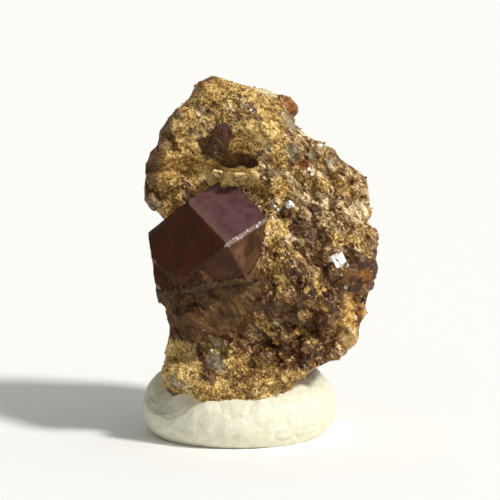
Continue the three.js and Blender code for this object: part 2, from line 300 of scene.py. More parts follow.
def origin_shift():
    """How far the solid model's own middle lies from the point that its sizes are measured from."""
    corners = np.concatenate([corners_of(crystal_planes(size, at)) for size, at in AMBER_GARNETS])
    low, high = (np.array(corner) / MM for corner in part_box("amber_garnets"))
    shift = (low + high) / 2 - (corners.min(axis=0) + corners.max(axis=0)) / 2
    return np.array([shift[0], shift[1], 0.0])


SHIFT = origin_shift()


def group_planes(crystals, grow=0.0, strips=()):
    """The planes of several crystals, each larger than stated by grow, in the shared frame."""
    ends, thicker = (), None
    if crystals is LARGE_GARNET:
        left, foot = (float(np.dot(end, np.array(END_AT) + SHIFT)) + grow for end in LARGE_ENDS)
        ends = ((LARGE_ENDS[0], left - LEFT_END_CUT), (LARGE_ENDS[1], foot))
        thicker = THICKER
    return [crystal_planes(size + grow, np.array(at) + SHIFT, strips=strips, ends=ends, thicker=thicker)
            for size, at in crystals]


# Meshes

def hull_of(corners):
    """Points and triangles of the convex hull round some corners."""
    form = bmesh.new()
    for corner in corners:
        form.verts.new(corner)
    bmesh.ops.convex_hull(form, input=form.verts)
    form.verts.index_update()
    points = np.array([vert.co for vert in form.verts])
    faces = [[vert.index for vert in face.verts] for face in form.faces]
    form.free()
    return points, faces


def cad_form(node):
    """Points in millimetres and triangles of a solid of the model."""
    form = bmesh.new()
    form.from_mesh(frame["nodes"][node].data)
    bmesh.ops.remove_doubles(form, verts=form.verts, dist=1e-7)
    form.verts.index_update()
    points = np.array([vert.co for vert in form.verts]) / MM
    faces = [[vert.index for vert in face.verts] for face in form.faces]
    form.free()
    return points, faces


def joined_form(forms):
    """Several forms as one."""
    points, faces, start = [], [], 0
    for form_points, form_faces in forms:
        points.append(form_points)
        faces += [[start + index for index in face] for face in form_faces]
        start += len(form_points)
    return np.concatenate(points), faces


def mesh_arrays(mesh):
    """The points, outward normals and corners of a mesh made of quads."""
    points = np.zeros(len(mesh.vertices) * 3)
    mesh.vertices.foreach_get("co", points)
    normals = np.zeros(len(mesh.vertices) * 3)
    mesh.vertices.foreach_get("normal", normals)
    corners = np.zeros(len(mesh.loops), np.int32)
    mesh.loops.foreach_get("vertex_index", corners)
    return points.reshape(-1, 3), normals.reshape(-1, 3), corners.reshape(-1, 4)


def skin_of(form, voxel):
    """The even outer skin round overlapping closed forms: points, normals and quads."""
    mesh = bpy.data.meshes.new("skin")
    mesh.from_pydata(form[0], [], form[1])
    obj = bpy.data.objects.new("skin", mesh)
    bpy.context.scene.collection.objects.link(obj)
    modifier = obj.modifiers.new("skin", "REMESH")
    modifier.mode = "VOXEL"
    modifier.voxel_size = voxel
    skin = bpy.data.meshes.new_from_object(obj.evaluated_get(bpy.context.evaluated_depsgraph_get()))
    arrays = mesh_arrays(skin)
    bpy.data.objects.remove(obj)
    bpy.data.meshes.remove(mesh)
    bpy.data.meshes.remove(skin)
    return arrays


def mesh_piece(name, points, faces, attributes=None, smooth=False):
    """A new piece from points in millimetres, with a number at each point for each named attribute."""
    mesh = bpy.data.meshes.new(name)
    faces = np.asarray(faces, np.int32)
    mesh.vertices.add(len(points))
    mesh.vertices.foreach_set("co", (np.asarray(points) * MM).ravel().astype(np.float32))
    mesh.loops.add(faces.size)
    mesh.loops.foreach_set("vertex_index", faces.ravel())
    mesh.polygons.add(len(faces))
    mesh.polygons.foreach_set("loop_start", np.arange(len(faces), dtype=np.int32) * faces.shape[1])
    mesh.polygons.foreach_set("use_smooth", np.full(len(faces), smooth))
    mesh.update(calc_edges=True)
    mesh.validate()
    for attribute, values in (attributes or {}).items():
        layer = mesh.attributes.new(attribute, "FLOAT", "POINT")
        layer.data.foreach_set("value", np.asarray(values, np.float32))
    obj = bpy.data.objects.new(name, mesh)
    bpy.context.scene.collection.objects.link(obj)
    return obj


def split_pieces(name, points, faces, attributes, cuts):
    """Several pieces from one large mesh, cut at heights in millimetres from the bottom up."""
    middles = points[faces].mean(axis=1)[:, 2]
    pieces = []
    for n, (low, high) in enumerate(zip((-FAR_OFF, *cuts), (*cuts, FAR_OFF))):
        kept = faces[(middles >= low) & (middles < high)]
        used, corners = np.unique(kept, return_inverse=True)
        corners = corners.reshape(kept.shape)
        part = {attribute: values[used] for attribute, values in attributes.items()}
        pieces.append(mesh_piece(f"{name}_{n + 1}", points[used], corners, part, smooth=True))
    return pieces


def evened(values, faces, rounds):
    """Point values averaged with their neighbours' over a mesh, several times."""
    for _ in range(rounds):
        total = np.zeros_like(values)
        count = np.zeros(len(values))
        for corner in range(faces.shape[1]):
            here, there = faces[:, corner], faces[:, (corner + 1) % faces.shape[1]]
            np.add.at(total, here, values[there])
            np.add.at(total, there, values[here])
            np.add.at(count, here, 1)
            np.add.at(count, there, 1)
        values = total / count[:, None]
    return values


def inside_box(points, spare=0.02):
    """Points in millimetres, kept inside the box of the solid model."""
    low, high = (np.array(corner) / MM for corner in CAD_BOX)
    return np.clip(points, low + spare, high - spare)


def random_turns(count, rng):
    """Rotation matrices in every direction."""
    w, x, y, z = unit_rows(rng.normal(size=(count, 4))).T
    return np.stack([
        np.stack([1 - 2 * (y * y + z * z), 2 * (x * y - z * w), 2 * (x * z + y * w)], axis=1),
        np.stack([2 * (x * y + z * w), 1 - 2 * (x * x + z * z), 2 * (y * z - x * w)], axis=1),
        np.stack([2 * (x * z - y * w), 2 * (y * z + x * w), 1 - 2 * (x * x + y * y)], axis=1),
    ], axis=1)


def unit_rows(rows):
    return rows / np.linalg.norm(rows, axis=1)[:, None]


def many_solids(base, places, sizes, turns, jitter, rng):
    """Copies of one small solid, each turned, sized and made irregular: points, triangles and the number of
    the copy at each point."""
    corners, faces = base
    count = len(places)
    shapes = corners[None] * (1 + jitter * rng.uniform(-1, 1, (count, len(corners), 1)))
    shapes = shapes * (1 + 0.8 * jitter * rng.uniform(-1, 1, (count, 1, 3)))
    points = np.einsum("nij,nkj->nki", turns, shapes) * sizes[:, None, None] + places[:, None]
    triangles = np.asarray(faces)[None] + (np.arange(count) * len(corners))[:, None, None]
    return points.reshape(-1, 3), triangles.reshape(-1, 3), np.repeat(np.arange(count), len(corners))


def read_rock():
    """The rock's finished skin: points in millimetres, outward normals, quads and attributes."""
    pieces = [obj for obj in bpy.data.objects if obj.name.startswith("rock_") and obj.type == "MESH"]
    if not pieces:
        raise RuntimeError("build the rock first")
    points, normals, faces, attributes, start = [], [], [], {}, 0
    for obj in pieces:
        places, directions, corners = mesh_arrays(obj.data)
        points.append(places / MM)
        normals.append(directions)
        faces.append(corners + start)
        start += len(places)
        for layer in obj.data.attributes:
            if layer.data_type == "FLOAT" and layer.domain == "POINT":
                values = np.zeros(len(places))
                layer.data.foreach_get("value", values)
                attributes.setdefault(layer.name, []).append(values)
    joined = {name: np.concatenate(values) for name, values in attributes.items()}
    return np.concatenate(points), np.concatenate(normals), np.concatenate(faces), joined


def rock_tree():
    """The rock's finished skin, for finding places on it."""
    points, _, faces, _ = read_rock()
    return BVHTree.FromPolygons(points.tolist(), faces.tolist())


def garnet_solid():
    """A rhombic dodecahedron with its faces 1 from its middle: corners and triangles."""
    points, faces = hull_of(corners_of(crystal_planes(1.0, (0, 0, 0), np.eye(3))))
    return points, [(face[0], face[k], face[k + 1]) for face in faces for k in range(1, len(face) - 1)]


def places_on_front(tree, spots):
    """Where lines from the front through places, given to the right and up, first meet the rock."""
    found = []
    for right, up in spots:
        for share in np.linspace(1.0, 0.8, 11):
            start = Vector(FRONT_RIGHT * right * share + FRONT_RISE * up + FRONT * 40)
            place, normal, _, _ = tree.ray_cast(start, Vector(-FRONT))
            if place is not None:
                break
        else:
            raise RuntimeError(f"no rock at {right}, {up}")
        found.append((np.array(place), np.array(normal)))
    return found


# The rock

PLUG = 0.06  # how far the plugs that close the crystals' pockets overlap the rock
TUCK = 0.45  # how far the rock's skin is drawn in under the crystals
NEAR, FAR = 0.38, 0.95  # distances from a crystal between which the skin's pull towards it fades
CLEAR = 3.5  # how far in front of the large crystal's exposed part the rock is cleared away
ROCK_CUTS = (9.0, 17.0)  # the heights at which the skin is cut into pieces
LARGE_UNEVEN, LARGE_SUNK = 0.2, 0.72  # the large grains' stretch and depth, as shares of half their size
ROUNDS = 12  # how often the skin is averaged to find its broad form
LAP = 1.3  # the width over which the rock thins out where it laps over the large crystal

# The bare rock is drawn out along the first of these axes, down to the right.
LAYER_AXES = np.array([(0.67, 0.0, -0.742), (0.742, 0.0, 0.67), (0.0, 1.0, 0.0)])
DRAWN_OUT = np.array([0.4, 1.0, 1.0])
# Large grains on the front: places to the right and up as seen from the front, and half the size.
LARGE_GRAINS = (
    (3.2, 15.3, 0.9), (2.5, 16.0, 0.55), (0.35, 10.5, 0.5), (-0.4, 10.9, 0.4), (2.1, 23.2, 0.75),
    (2.7, 21.2, 0.5), (-3.1, 19.5, 0.4), (-0.9, 24.1, 0.4), (7.0, 14.2, 1.35), (7.6, 18.4, 0.8),
    (6.3, 19.6, 0.6), (4.4, 21.2, 0.6), (3.6, 18.6, 0.6), (5.3, 17.3, 0.7), (4.2, 12.4, 0.6),
    (2.2, 12.6, 0.7), (2.4, 9.4, 0.8), (4.3, 9.1, 0.8), (-3.3, 6.3, 0.7), (-2.7, 7.2, 0.6),
    (-6.2, 4.5, 0.8), (5.8, 16.0, 0.6), (7.7, 11.9, 1.0), (6.5, 11.9, 0.75), (7.2, 9.3, 0.75),
    (6.3, 8.6, 0.7), (6.8, 7.5, 0.6), (5.2, 6.3, 0.7), (3.4, 6.9, 0.6), (1.0, 7.0, 0.7), (-5.6, 6.6, 0.6),
)

# The stone's outline from the front: places to the right and up, in millimetres.
STONE_OUTLINE = np.array([
    (-3.7, 26.9), (-2.3, 26.4), (-1.4, 26.1), (0.7, 25.95), (1.3, 25.4), (2.1, 25.2), (2.7, 24.6),
    (2.7, 23.9), (2.4, 23.4), (2.9, 22.7), (3.9, 22.0), (5.2, 21.5), (6.0, 20.7), (7.0, 20.0), (7.8, 19.5),
    (8.0, 17.7), (8.2, 16.4), (8.9, 15.3), (8.7, 14.3), (8.5, 13.1), (8.8, 12.1), (8.2, 11.0), (7.5, 10.4),
    (7.9, 9.2), (7.2, 8.3), (7.2, 7.4), (6.8, 6.5), (5.9, 5.8), (5.0, 5.7), (3.9, 5.2), (2.9, 4.3),
    (2.0, 2.0), (-9.0, 2.0), (-7.2, 5.5), (-6.8, 8.0), (-7.0, 9.6), (-7.6, 10.0), (-7.9, 11.5),
    (-8.6, 12.5), (-8.6, 14.5), (-7.4, 16.2), (-8.2, 17.0), (-8.6, 17.6), (-8.6, 19.6), (-8.1, 21.1),
    (-7.6, 21.5), (-7.4, 22.7), (-6.3, 24.3), (-5.1, 25.3), (-4.8, 26.2),
])
# The part of the large crystal that shows, from the front: places to the right and up, in millimetres.
EXPOSED = np.array([
    (-12.0, 19.7), (-3.4, 19.5), (-2.75, 18.5), (-2.4, 18.85), (-1.65, 18.8), (-1.1, 18.3), (-0.4, 17.55),
    (0.1, 16.95), (0.6, 16.35), (0.28, 14.98), (0.06, 13.53), (-0.38, 12.73), (-1.03, 11.94), (-2.26, 11.65),
    (-4.42, 11.36), (-5.88, 11.07), (-7.55, 11.0), (-12.0, 10.9),
])
# Parts of the rock coloured dark, from the front: under the large crystal, partly dark rock and partly
# painted shade cast by the crystal; the hollow above it, painted shadow of its overhang; a pocket on the
# right; and the rim down the left edge, partly dark rock and partly painted shade on the side turned from the
# light.
UNDER_CRYSTAL = np.array([
    (-8.5, 12.0), (-5.9, 12.0), (-0.8, 12.9), (0.3, 10.9), (-1.5, 7.9), (-4.1, 7.7), (-8.0, 6.9),
])
HOLLOW = np.array([
    (-4.6, 21.9), (-4.2, 20.7), (-3.2, 20.2), (-1.2, 20.1), (-0.1, 20.3), (-0.1, 21.0), (-1.8, 21.15),
    (-2.7, 21.5), (-3.2, 22.3), (-4.0, 22.6),
])
POCKET = np.array([(2.4, 16.2), (4.0, 15.9), (4.7, 14.6), (4.2, 13.4), (3.2, 14.0), (2.3, 15.2)])
RIM = np.array([
    (-6.2, 24.4), (-7.5, 22.9), (-8.0, 21.3), (-8.8, 19.6), (-8.8, 17.6), (-8.0, 16.8), (-7.5, 17.4),
    (-7.8, 18.7), (-7.2, 20.0), (-6.9, 21.4), (-6.2, 22.9), (-5.4, 23.9),
])
# Crust made paler as painted light, from the front: the ledge between the hollow and the large crystal, and
# the foot's left.
SHELF = np.array([
    (-4.6, 19.9), (-2.6, 20.1), (-0.3, 20.1), (1.0, 19.4), (0.8, 18.3), (-0.6, 18.9), (-4.4, 19.0),
])
FOOT_PAINTED_LIGHT = np.array([(-7.4, 7.3), (-5.6, 7.1), (-4.6, 5.6), (-3.9, 3.6), (-7.4, 3.6)])
# Clear parts on the right, from the front: one amber and one golden.
AMBER_PART = np.array([
    (6.2, 12.9), (7.4, 13.1), (9.0, 12.9), (9.0, 11.4), (8.0, 10.3), (6.8, 10.5), (6.1, 11.6),
])
GOLDEN_PART = np.array([
    (6.3, 10.4), (7.5, 10.3), (8.3, 9.2), (7.5, 8.2), (7.3, 7.1), (6.2, 6.8), (5.4, 7.6), (5.6, 9.0),
])
# Narrow crests of crust on the bare rock, from the front: where each starts and ends.
CRUST_LINES = (
    ((1.2, 15.8), (2.1, 14.4)), ((2.1, 14.4), (3.2, 13.1)), ((3.2, 13.1), (4.3, 12.1)),
    ((-0.4, 9.1), (0.4, 8.2)), ((0.4, 8.2), (1.1, 7.2)), ((5.4, 14.3), (6.6, 14.8)),
    ((6.6, 14.8), (8.0, 13.6)), ((2.3, 19.6), (4.6, 18.4)), ((3.4, 10.0), (4.6, 9.6)),
    ((0.9, 12.6), (1.9, 11.2)), ((5.2, 19.4), (7.0, 17.6)), ((2.8, 8.0), (3.9, 7.2)),
)
# Narrow lines coloured dark, from the front: the same.
DARK_LINES = (
    ((-1.6, 24.1), (-0.7, 24.2)), ((-0.7, 24.2), (-0.25, 23.6)), ((-4.6, 18.9), (-3.9, 18.5)),
    ((0.4, 19.7), (1.6, 19.5)), ((-5.4, 22.6), (-4.3, 22.3)), ((-6.2, 18.9), (-5.6, 18.5)),
    ((-4.6, 24.2), (-3.4, 23.9)), ((2.2, 17.9), (3.1, 17.3)), ((-4.9, 6.7), (-3.8, 4.5)),
    ((4.0, 13.6), (4.6, 12.6)),
)
# Round places on the rock: the middle in millimetres and the radius.
GREY_PATCHES = (
    (2.1, -0.8, 23.6, 0.8), (1.8, -1.0, 24.0, 0.4), (2.6, -2.4, 21.8, 0.55), (3.2, -4.6, 16.3, 0.55),
    (-3.5, -4.2, 6.4, 0.85), (-2.9, -3.6, 7.7, 0.55), (-6.3, -4.6, 4.9, 0.7), (-1.0, -5.6, 11.8, 0.4),
    (7.1, -1.6, 17.6, 0.4), (5.0, -1.4, 21.0, 0.5), (-7.3, -1.9, 11.1, 0.35), (-7.6, -2.0, 20.4, 0.5),
    (3.9, -2.0, 21.3, 0.4), (6.1, -2.6, 9.0, 0.4), (-4.8, -4.8, 4.6, 0.5),
)
# Places coloured dark: partly dark rock and partly painted shade.
DARK_PLACES = (
    (6.4, -3.4, 12.2, 0.7), (4.2, -4.0, 9.2, 1.0), (3.6, -2.6, 17.0, 0.6), (1.8, -4.9, 10.2, 1.1),
    (-4.1, -4.8, 5.9, 0.35), (-4.4, -4.2, 6.6, 0.4), (3.2, -4.4, 10.8, 0.9), (-0.7, -1.0, 18.8, 0.5),
)
ORANGE_KNOBS = (
    (2.7, -0.5, 24.7, 0.75), (1.9, -0.6, 25.2, 0.5), (-4.5, -0.6, 26.6, 0.75), (-5.2, 0.0, 25.8, 0.55),
    (7.7, -0.9, 19.0, 0.5), (3.2, -2.4, 20.6, 0.3), (8.4, -1.8, 14.6, 0.5),
)
CREAM_PLACES = ((0.4, 0.4, 26.0, 0.65), (-0.3, 0.2, 26.1, 0.5), (1.0, 0.4, 25.8, 0.4))
# The masks that the rock's skin keeps for its materials and its crumbs.
KEPT_MASKS = ("crust", "ochre", "pale", "dark", "grey", "orange", "cream", "amber", "golden")


def near_places(points, places, soft=1.0):
    """1 in the middle of each round place, falling off to 0 outside it."""
    mask = np.zeros(len(points))
    for *middle, radius in places:
        away = np.linalg.norm(points - middle, axis=1)
        mask = np.maximum(mask, 1 - ramp(away, radius * (1 - 0.5 * soft), radius * (1 + 0.5 * soft)))
    return mask


def near_lines(points, lines, width):
    """1 along lines seen from the front, on the front side, falling off to 0 at a width from them."""
    places = front_view(points)
    away = np.full(len(points), FAR_OFF)
    for start, end in lines:
        away = np.minimum(away, nearest_on_line(places, start, end)[1])
    return ramp(away / np.maximum(width, 0.05), 1.3, 0.7) * (1 - ramp(points[:, 1], 0.5, 2.0))


def inside_places(points, outline, soft):
    """1 on the front side inside an outline seen from the front, falling off to 0 outside it."""
    beyond = outside_outline(front_view(points), outline)
    return (1 - ramp(beyond, -soft, soft)) * (1 - ramp(points[:, 1], 1.5, 3.0))


def crust_zone(points, normals, wander, patchy, shelf):
    """Where the ochre crust lies: on the upper left, the foot, the back and ledges, and in veins, with more
    of it on the shelf as painted light.
    """
    x, y, z = points.T
    upper = ramp(0.9 - x + 1.8 * wander, -0.9, 0.9) * ramp(z + wander, 15.6, 17.0) * (1 - ramp(y, 1.0, 3.5))
    foot = ramp(7.4 - z - 0.2 * (x + 3) + 1.8 * wander, -0.7, 0.7) * (1 - ramp(x + wander, 2.5, 4.5))
    back = ramp(y + 2 * wander, 0.5, 2.5) * ramp(wander + 0.5 * patchy, -0.2, 0.2)
    ledge = ramp(normals[:, 2] + 0.7 * patchy, 0.6, 1.0) * 0.4
    veins = ramp(patchy + 0.3 * wander, 0.4, 0.52) * 0.7
    beside = ramp(patchy + 0.3 - 0.5 * np.abs(x - 1.4), -0.05, 0.2) * ramp(z, 10.5, 12.0)
    crests = near_lines(points, CRUST_LINES, 0.28 + 0.15 * patchy)
    crust = np.maximum.reduce([upper, foot, 0.85 * back, ledge, veins, 0.8 * beside, crests])
    gaps = cloud_noise(points @ LAYER_AXES.T * DRAWN_OUT, 1.0, 3, salt=35)
    gaps = ramp(gaps + 0.25 * ramp(z, 7.0, 9.0), -0.25, 0.05)
    # The shelf gets fuller, paler crust as painted light.
    least = 0.25 + 0.22 * ramp(z, 9.0, 7.0) + 0.4 * shelf
    return crust * ramp(patchy, -0.8, -0.4) * (least + (1 - least) * gaps)


def rock_zones(points, normals):
    """The masks that say what the rock is made of at each point."""
    height = points[:, 2]
    wander = cloud_noise(points, 3.6, 4, salt=20)
    patchy = cloud_noise(points, 1.1, 3, salt=30)
    shift = 0.3 * drift(points, 0.7, 40)
    near, moved = points + shift, points + 1.6 * shift
    zones = {
        "shelf": inside_places(points, SHELF, 0.6),
        "rim": inside_places(near, RIM, 0.2),
        "hollow": inside_places(moved, HOLLOW, 0.15),
        "pocket": inside_places(moved, POCKET, 0.2),
        "amber": inside_places(moved, AMBER_PART, 0.2),
        "golden": inside_places(moved, GOLDEN_PART, 0.3),
        "grey": near_places(points + 1.5 * shift, GREY_PATCHES, 0.9),
        "orange": near_places(near, ORANGE_KNOBS, 0.6),
        "cream": near_places(near, CREAM_PLACES, 1.0),
        "pale": ramp(height + 2 * wander, 13.0, 17.0),
    }
    # Dark spots and lines: partly dark rock and partly painted shade.
    dark_rock_and_painted_shade = np.maximum(near_places(near, DARK_PLACES, 1.2), near_lines(moved, DARK_LINES, 0.25))
    # Dark colour: under the large crystal partly dark rock and partly painted shade, in the hollow painted
    # shadow, on the rim partly painted shade.
    under = inside_places(moved, UNDER_CRYSTAL, 0.5)
    dark = [0.7 * dark_rock_and_painted_shade, 0.95 * under, zones["hollow"], 0.9 * zones["rim"], 0.75 * zones["pocket"]]
    zones["dark"] = np.maximum.reduce(dark) * (1 - zones["amber"]) * (1 - zones["golden"])
    foot_painted_light = inside_places(moved, FOOT_PAINTED_LIGHT, 0.4)
    # The ochre mask makes the crust paler: painted light on the shelf, the foot's left and the top.
    zones["ochre"] = np.maximum.reduce([2.0 * zones["shelf"], foot_painted_light, 0.25 * ramp(height, 20.0, 22.0)])
    zones["crust"] = crust_zone(points, normals, wander, patchy, zones["shelf"])
    for other in ("dark", "grey", "orange", "amber", "golden"):
        zones["crust"] = zones["crust"] * (1 - zones[other])
    return zones


def gap_in_front(points, group):
    """How far in front of some crystals each point is, seen from the front, or a huge number beside them."""
    gap = np.full(len(points), FAR_OFF)
    for normals, offsets in group:
        heights = points @ normals.T - offsets
        facing = normals @ FRONT
        enter = (heights[:, facing > 0.01] / facing[facing > 0.01]).max(axis=1)
        leave = (heights[:, facing < -0.01] / facing[facing < -0.01]).min(axis=1)
        gap = np.where((enter < leave) & (enter < gap) & (leave > 0), enter, gap)
    return gap


def clear_front(points, group, beyond):
    """Moves the skin back behind the exposed part of some crystals, and thins it out where it laps over them.
    The distance beyond the exposed part is given for each point."""
    exposed = 1 - ramp(beyond, -0.05, 0.05)
    gap = gap_in_front(points, [(sides, offsets + 0.3) for sides, offsets in group])
    sides, offsets = group[0]
    upper = np.argmax(sides @ UPPER_FACE)
    over = (points @ sides[upper] - offsets[upper]) / (sides[upper] @ FRONT)
    slope = (gap > CLEAR) & (points[:, 2] > 15.5) & (over > 0) & (over < CLEAR)
    gap = np.where(slope, over, gap)
    clear = np.where(slope, 0, exposed * (gap + 0.9))
    width = LAP * (1 + ramp(points[:, 2], 14.0, 12.5))
    lap = (1 - ramp(beyond / width, 0.0, 1.0)) * np.maximum(gap + 0.1, 0)
    seen = (gap > -0.4) & (gap < CLEAR)
    return points - FRONT * np.where(seen, np.maximum(clear, lap), 0)[:, None]


def tuck_under(points, group, share=1.0):
    """Draws the skin in round crystals, so that it meets them and runs on beneath them."""
    distance, normals = distance_to_group(points, group)
    share = np.broadcast_to(share, len(points))
    near = (distance < NEAR) & (distance > -0.5)
    pull = share * TUCK * (1 - ramp(distance, NEAR, FAR))
    points = points - normals * np.where(distance > -0.3, pull, 0)[:, None]
    for _ in range(3):
        distance, normals = distance_to_group(points[near], group)
        points[near] -= normals * (share[near] * np.maximum(distance + 0.3, 0))[:, None]
    return points


def tuck_large(points, large):
    """Fits the skin round the large crystal, which shows within a ragged outline."""
    ragged = 0.06 * smooth_noise(points, 0.35, 160) + 0.04 * smooth_noise(points, 0.9, 161)
    beyond = outside_outline(front_view(points), EXPOSED) + ragged
    points = clear_front(points, large, beyond)
    facing = distance_to_group(points, large)[1] @ FRONT
    return tuck_under(points, large, 1 - ramp(beyond, -0.05, 0.05) * ramp(facing, 0.05, 0.25))


def front_grains(settings):
    """Large grains that stand out on the front of the rock, as closed forms."""
    rng = np.random.default_rng(settings.seed + 2)
    points, faces = cad_form("host_rock")
    tree = BVHTree.FromPolygons(points.tolist(), faces)
    corners, triangles = garnet_solid()
    forms = []
    found = places_on_front(tree, [grain[:2] for grain in LARGE_GRAINS])
    for (place, normal), (_, _, size), turn in zip(found, LARGE_GRAINS, random_turns(len(found), rng)):
        shape = (corners * (1 + LARGE_UNEVEN * rng.uniform(-1, 1, 3))) @ turn.T * size
        forms.append((shape + place - normal * size * LARGE_SUNK, triangles))
    return forms


def crust_relief(points):
    """The crust's height: soft lumps, thin ridges, small pits and sugary grains."""
    lumps = cloud_noise(points, 1.5, 3, 145)
    ridges = 1 - np.abs(smooth_noise(points * np.array([1.0, 1.0, 0.6]), 0.42, 146))
    pits = ramp(cloud_noise(points, 0.5, 2, 150), 0.2, 0.55)
    bits, _, _ = broken_cells(points, 0.34, 131)
    sugar = smooth_noise(points, 0.2, 140)
    return 0.12 * lumps + 0.05 * (ridges - 0.6) + 0.03 * bits + 0.03 * sugar - 0.12 * pits, pits


def glass_relief(points):
    """The bare rock's height: broken faces of three sizes drawn out in layers, and seams."""
    drawn = (points + 0.25 * drift(points, 0.9, 60)) @ LAYER_AXES.T * DRAWN_OUT
    blocks, block_seams, tone = broken_cells(drawn, 1.25, 100)
    chips, _, chip_tone = broken_cells(drawn, 0.5, 120)
    slivers, _, _ = broken_cells(drawn, 0.26, 125)
    seam = 1 - ramp(block_seams, 0.02, 0.14)
    relief = 0.18 * blocks + 0.1 * chips + 0.06 * slivers - 0.04 * seam
    return relief, {"tone": tone, "chip": chip_tone}


def rock_relief(points, zones, crystals):
    """How far the skin rises outwards, and what its materials and crumbs need to know about it."""
    crusty, pits = crust_relief(points)
    glassy, parts = glass_relief(points)
    hold = 0.3 + 0.7 * ramp(distance_to_group(points, crystals)[0], 0.35, 1.0)
    hold *= (1 - 0.3 * zones["dark"]) * (1 - 0.8 * zones["orange"]) * (1 - 0.75 * zones["amber"])
    sugary = np.maximum(zones["crust"], zones["hollow"])
    relief = hold * (crusty * (0.1 + 0.9 * sugary) + glassy * (1 - 0.75 * sugary))
    relief += 0.3 * zones["shelf"] * (1 - zones["hollow"]) + 0.5 * zones["rim"]
    relief -= 0.25 * zones["hollow"] + 0.35 * zones["pocket"]
    return relief, dict(parts, pit=pits)


def build_rock(settings):
    """The rock's skin: broken grains, seams, pits and a granular crust over the solid's form."""
    groups = (LARGE_GARNET, SMALL_GARNET, AMBER_GARNETS)
    large, small, amber = (group_planes(group) for group in groups)
    grown = [planes for group in groups for planes in group_planes(group, grow=FIT_GAP + PLUG)]
    plugs = [hull_of(corners_of(planes)) for planes in grown]
    forms = [cad_form("host_rock"), *plugs, *front_grains(settings)]
    points, normals, faces = skin_of(joined_form(forms), settings.detail / MM)
    zones = rock_zones(points, normals)
    relief, parts = rock_relief(points, zones, large + small + amber)
    # Height above the skin's broad form: the materials darken low points and lighten high ones, as painted
    # shade and painted light.
    height = relief - evened(relief[:, None], faces, ROUNDS)[:, 0]
    points = drawn_inside(inside_box(points + normals * relief[:, None]), STONE_OUTLINE)
    sleek = np.maximum(zones["orange"], 0.7 * zones["grey"])[:, None]
    points = points + (evened(points, faces, ROUNDS) - points) * sleek
    points = tuck_large(points, large)
    for group in (small, amber):
        points = tuck_under(points, group)
    # A painted shadow on the rock just below the large crystal's lower edge.
    below = outside_outline(front_view(points), EXPOSED)
    shadow_below_crystal = (1 - ramp(below, 0.2, 0.8)) * ramp(points[:, 2], 13.2, 12.4) * (points[:, 1] < 0)
    attributes = dict({name: zones[name] for name in KEPT_MASKS}, height=height, shadow_below_crystal=shadow_below_crystal, **parts)
    return split_pieces("rock", points, faces, attributes, ROCK_CUTS)


# The crystals

SNAP_REACH = 0.55  # how near an edge a skin point is moved onto it, as a share of the skin's faces
SMALL_SHARE, AMBER_SHARE = 0.45, 0.7  # the size of these crystals' smallest faces, as shares of the setting
CHIP_DEPTH, SMALL_WEAR = 0.09, 0.06  # how much the crystals' edges have lost, in millimetres


def snap_to_faces(points, group, reach):
    """Moves skin points onto a crystal's exact faces, and those near an edge or corner onto it."""
    nearest = np.argmin([distance_to_planes(points, planes)[0] for planes in group], axis=0)
    snapped = points.copy()
    for n, (normals, offsets) in enumerate(group):
        chosen = np.flatnonzero(nearest == n)
        heights = points[chosen] @ normals.T - offsets
        order = np.argsort(-heights, axis=1)[:, :3]
        near = np.take_along_axis(heights, order, axis=1)
        sides = normals[order]
        close = near > near[:, :1] - reach
        close[:, 0] = True
        for count in (1, 2, 3):
            rows = np.flatnonzero(close.sum(axis=1) == count)
            if not len(rows):
                continue
            face_normals = sides[rows][:, :count]
            gram = face_normals @ face_normals.transpose(0, 2, 1) + 1e-6 * np.eye(count)
            weights = np.linalg.solve(gram, near[rows][:, :count, None])[:, :, 0]
            move = np.einsum("nk,nkj->nj", weights, face_normals)
            snapped[chosen[rows]] -= move
    return snapped


def crystal_skin(crystals, voxel, strips=()):
    """A fine skin with crisp faces round crystals grown into one: points, outward normals and quads."""
    group = group_planes(crystals, strips=strips)
    points, _, faces = skin_of(joined_form([hull_of(corners_of(planes)) for planes in group]), voxel)
    points = snap_to_faces(points, group, SNAP_REACH * voxel)
    return points, distance_to_group(points, group)[1], faces


def edge_wear(points, group, reach):
    """1 on the edges of a group of crystals, falling to 0 at reach from them."""
    wear = np.zeros(len(points))
    nearest = np.argmin([distance_to_planes(points, planes)[0] for planes in group], axis=0)
    for n, (normals, offsets) in enumerate(group):
        chosen = nearest == n
        heights = np.sort(points[chosen] @ normals.T - offsets, axis=1)
        wear[chosen] = 1 - ramp(heights[:, -1] - heights[:, -2], 0, reach)
    return wear


def build_large_garnet(settings):
    """The large crystal: flat growth faces with narrow faces along its edges, and small chips."""
    group = group_planes(LARGE_GARNET)
    points, normals, faces = crystal_skin(LARGE_GARNET, settings.detail / MM, LARGE_STRIPS)
    wear = edge_wear(points, group, 0.22)
    chips = ramp(smooth_noise(points, 0.45, 200) + 0.5 * smooth_noise(points, 0.17, 201), 0.35, 0.9)
    swell = 0.012 * smooth_noise(points, 1.6, 202) + 0.006 * smooth_noise(points, 0.5, 203)
    points = points - normals * (CHIP_DEPTH * wear * chips + swell + 0.012)[:, None]
    sides, offsets = group[0]
    inwards = []
    for face in (UPPER_FACE, RIGHT_FACE, LEFT_FACE):
        row = np.argmax(sides @ face)
        inwards.append(offsets[row] - points @ sides[row])
    upper, right, left = inwards
    attributes = {
        "upper": ramp(normals @ UPPER_FACE, 0.9, 0.99),
        "right": ramp(normals @ RIGHT_FACE, 0.9, 0.99),
        "ridge": 1 - ramp(np.maximum(upper, right), 0.08, 0.17),
        "dust": (1 - ramp(left, 0.3, 1.1)) * ramp(normals @ UPPER_FACE, 0.9, 0.99),
        "tip": 1 - ramp(upper + right + left, 0.15, 0.6),
        "low": 1 - ramp(front_view(points)[:, 1], 11.2, 13.4),
    }
    return mesh_piece("large_crystal", inside_box(points, 0.0), faces, attributes)


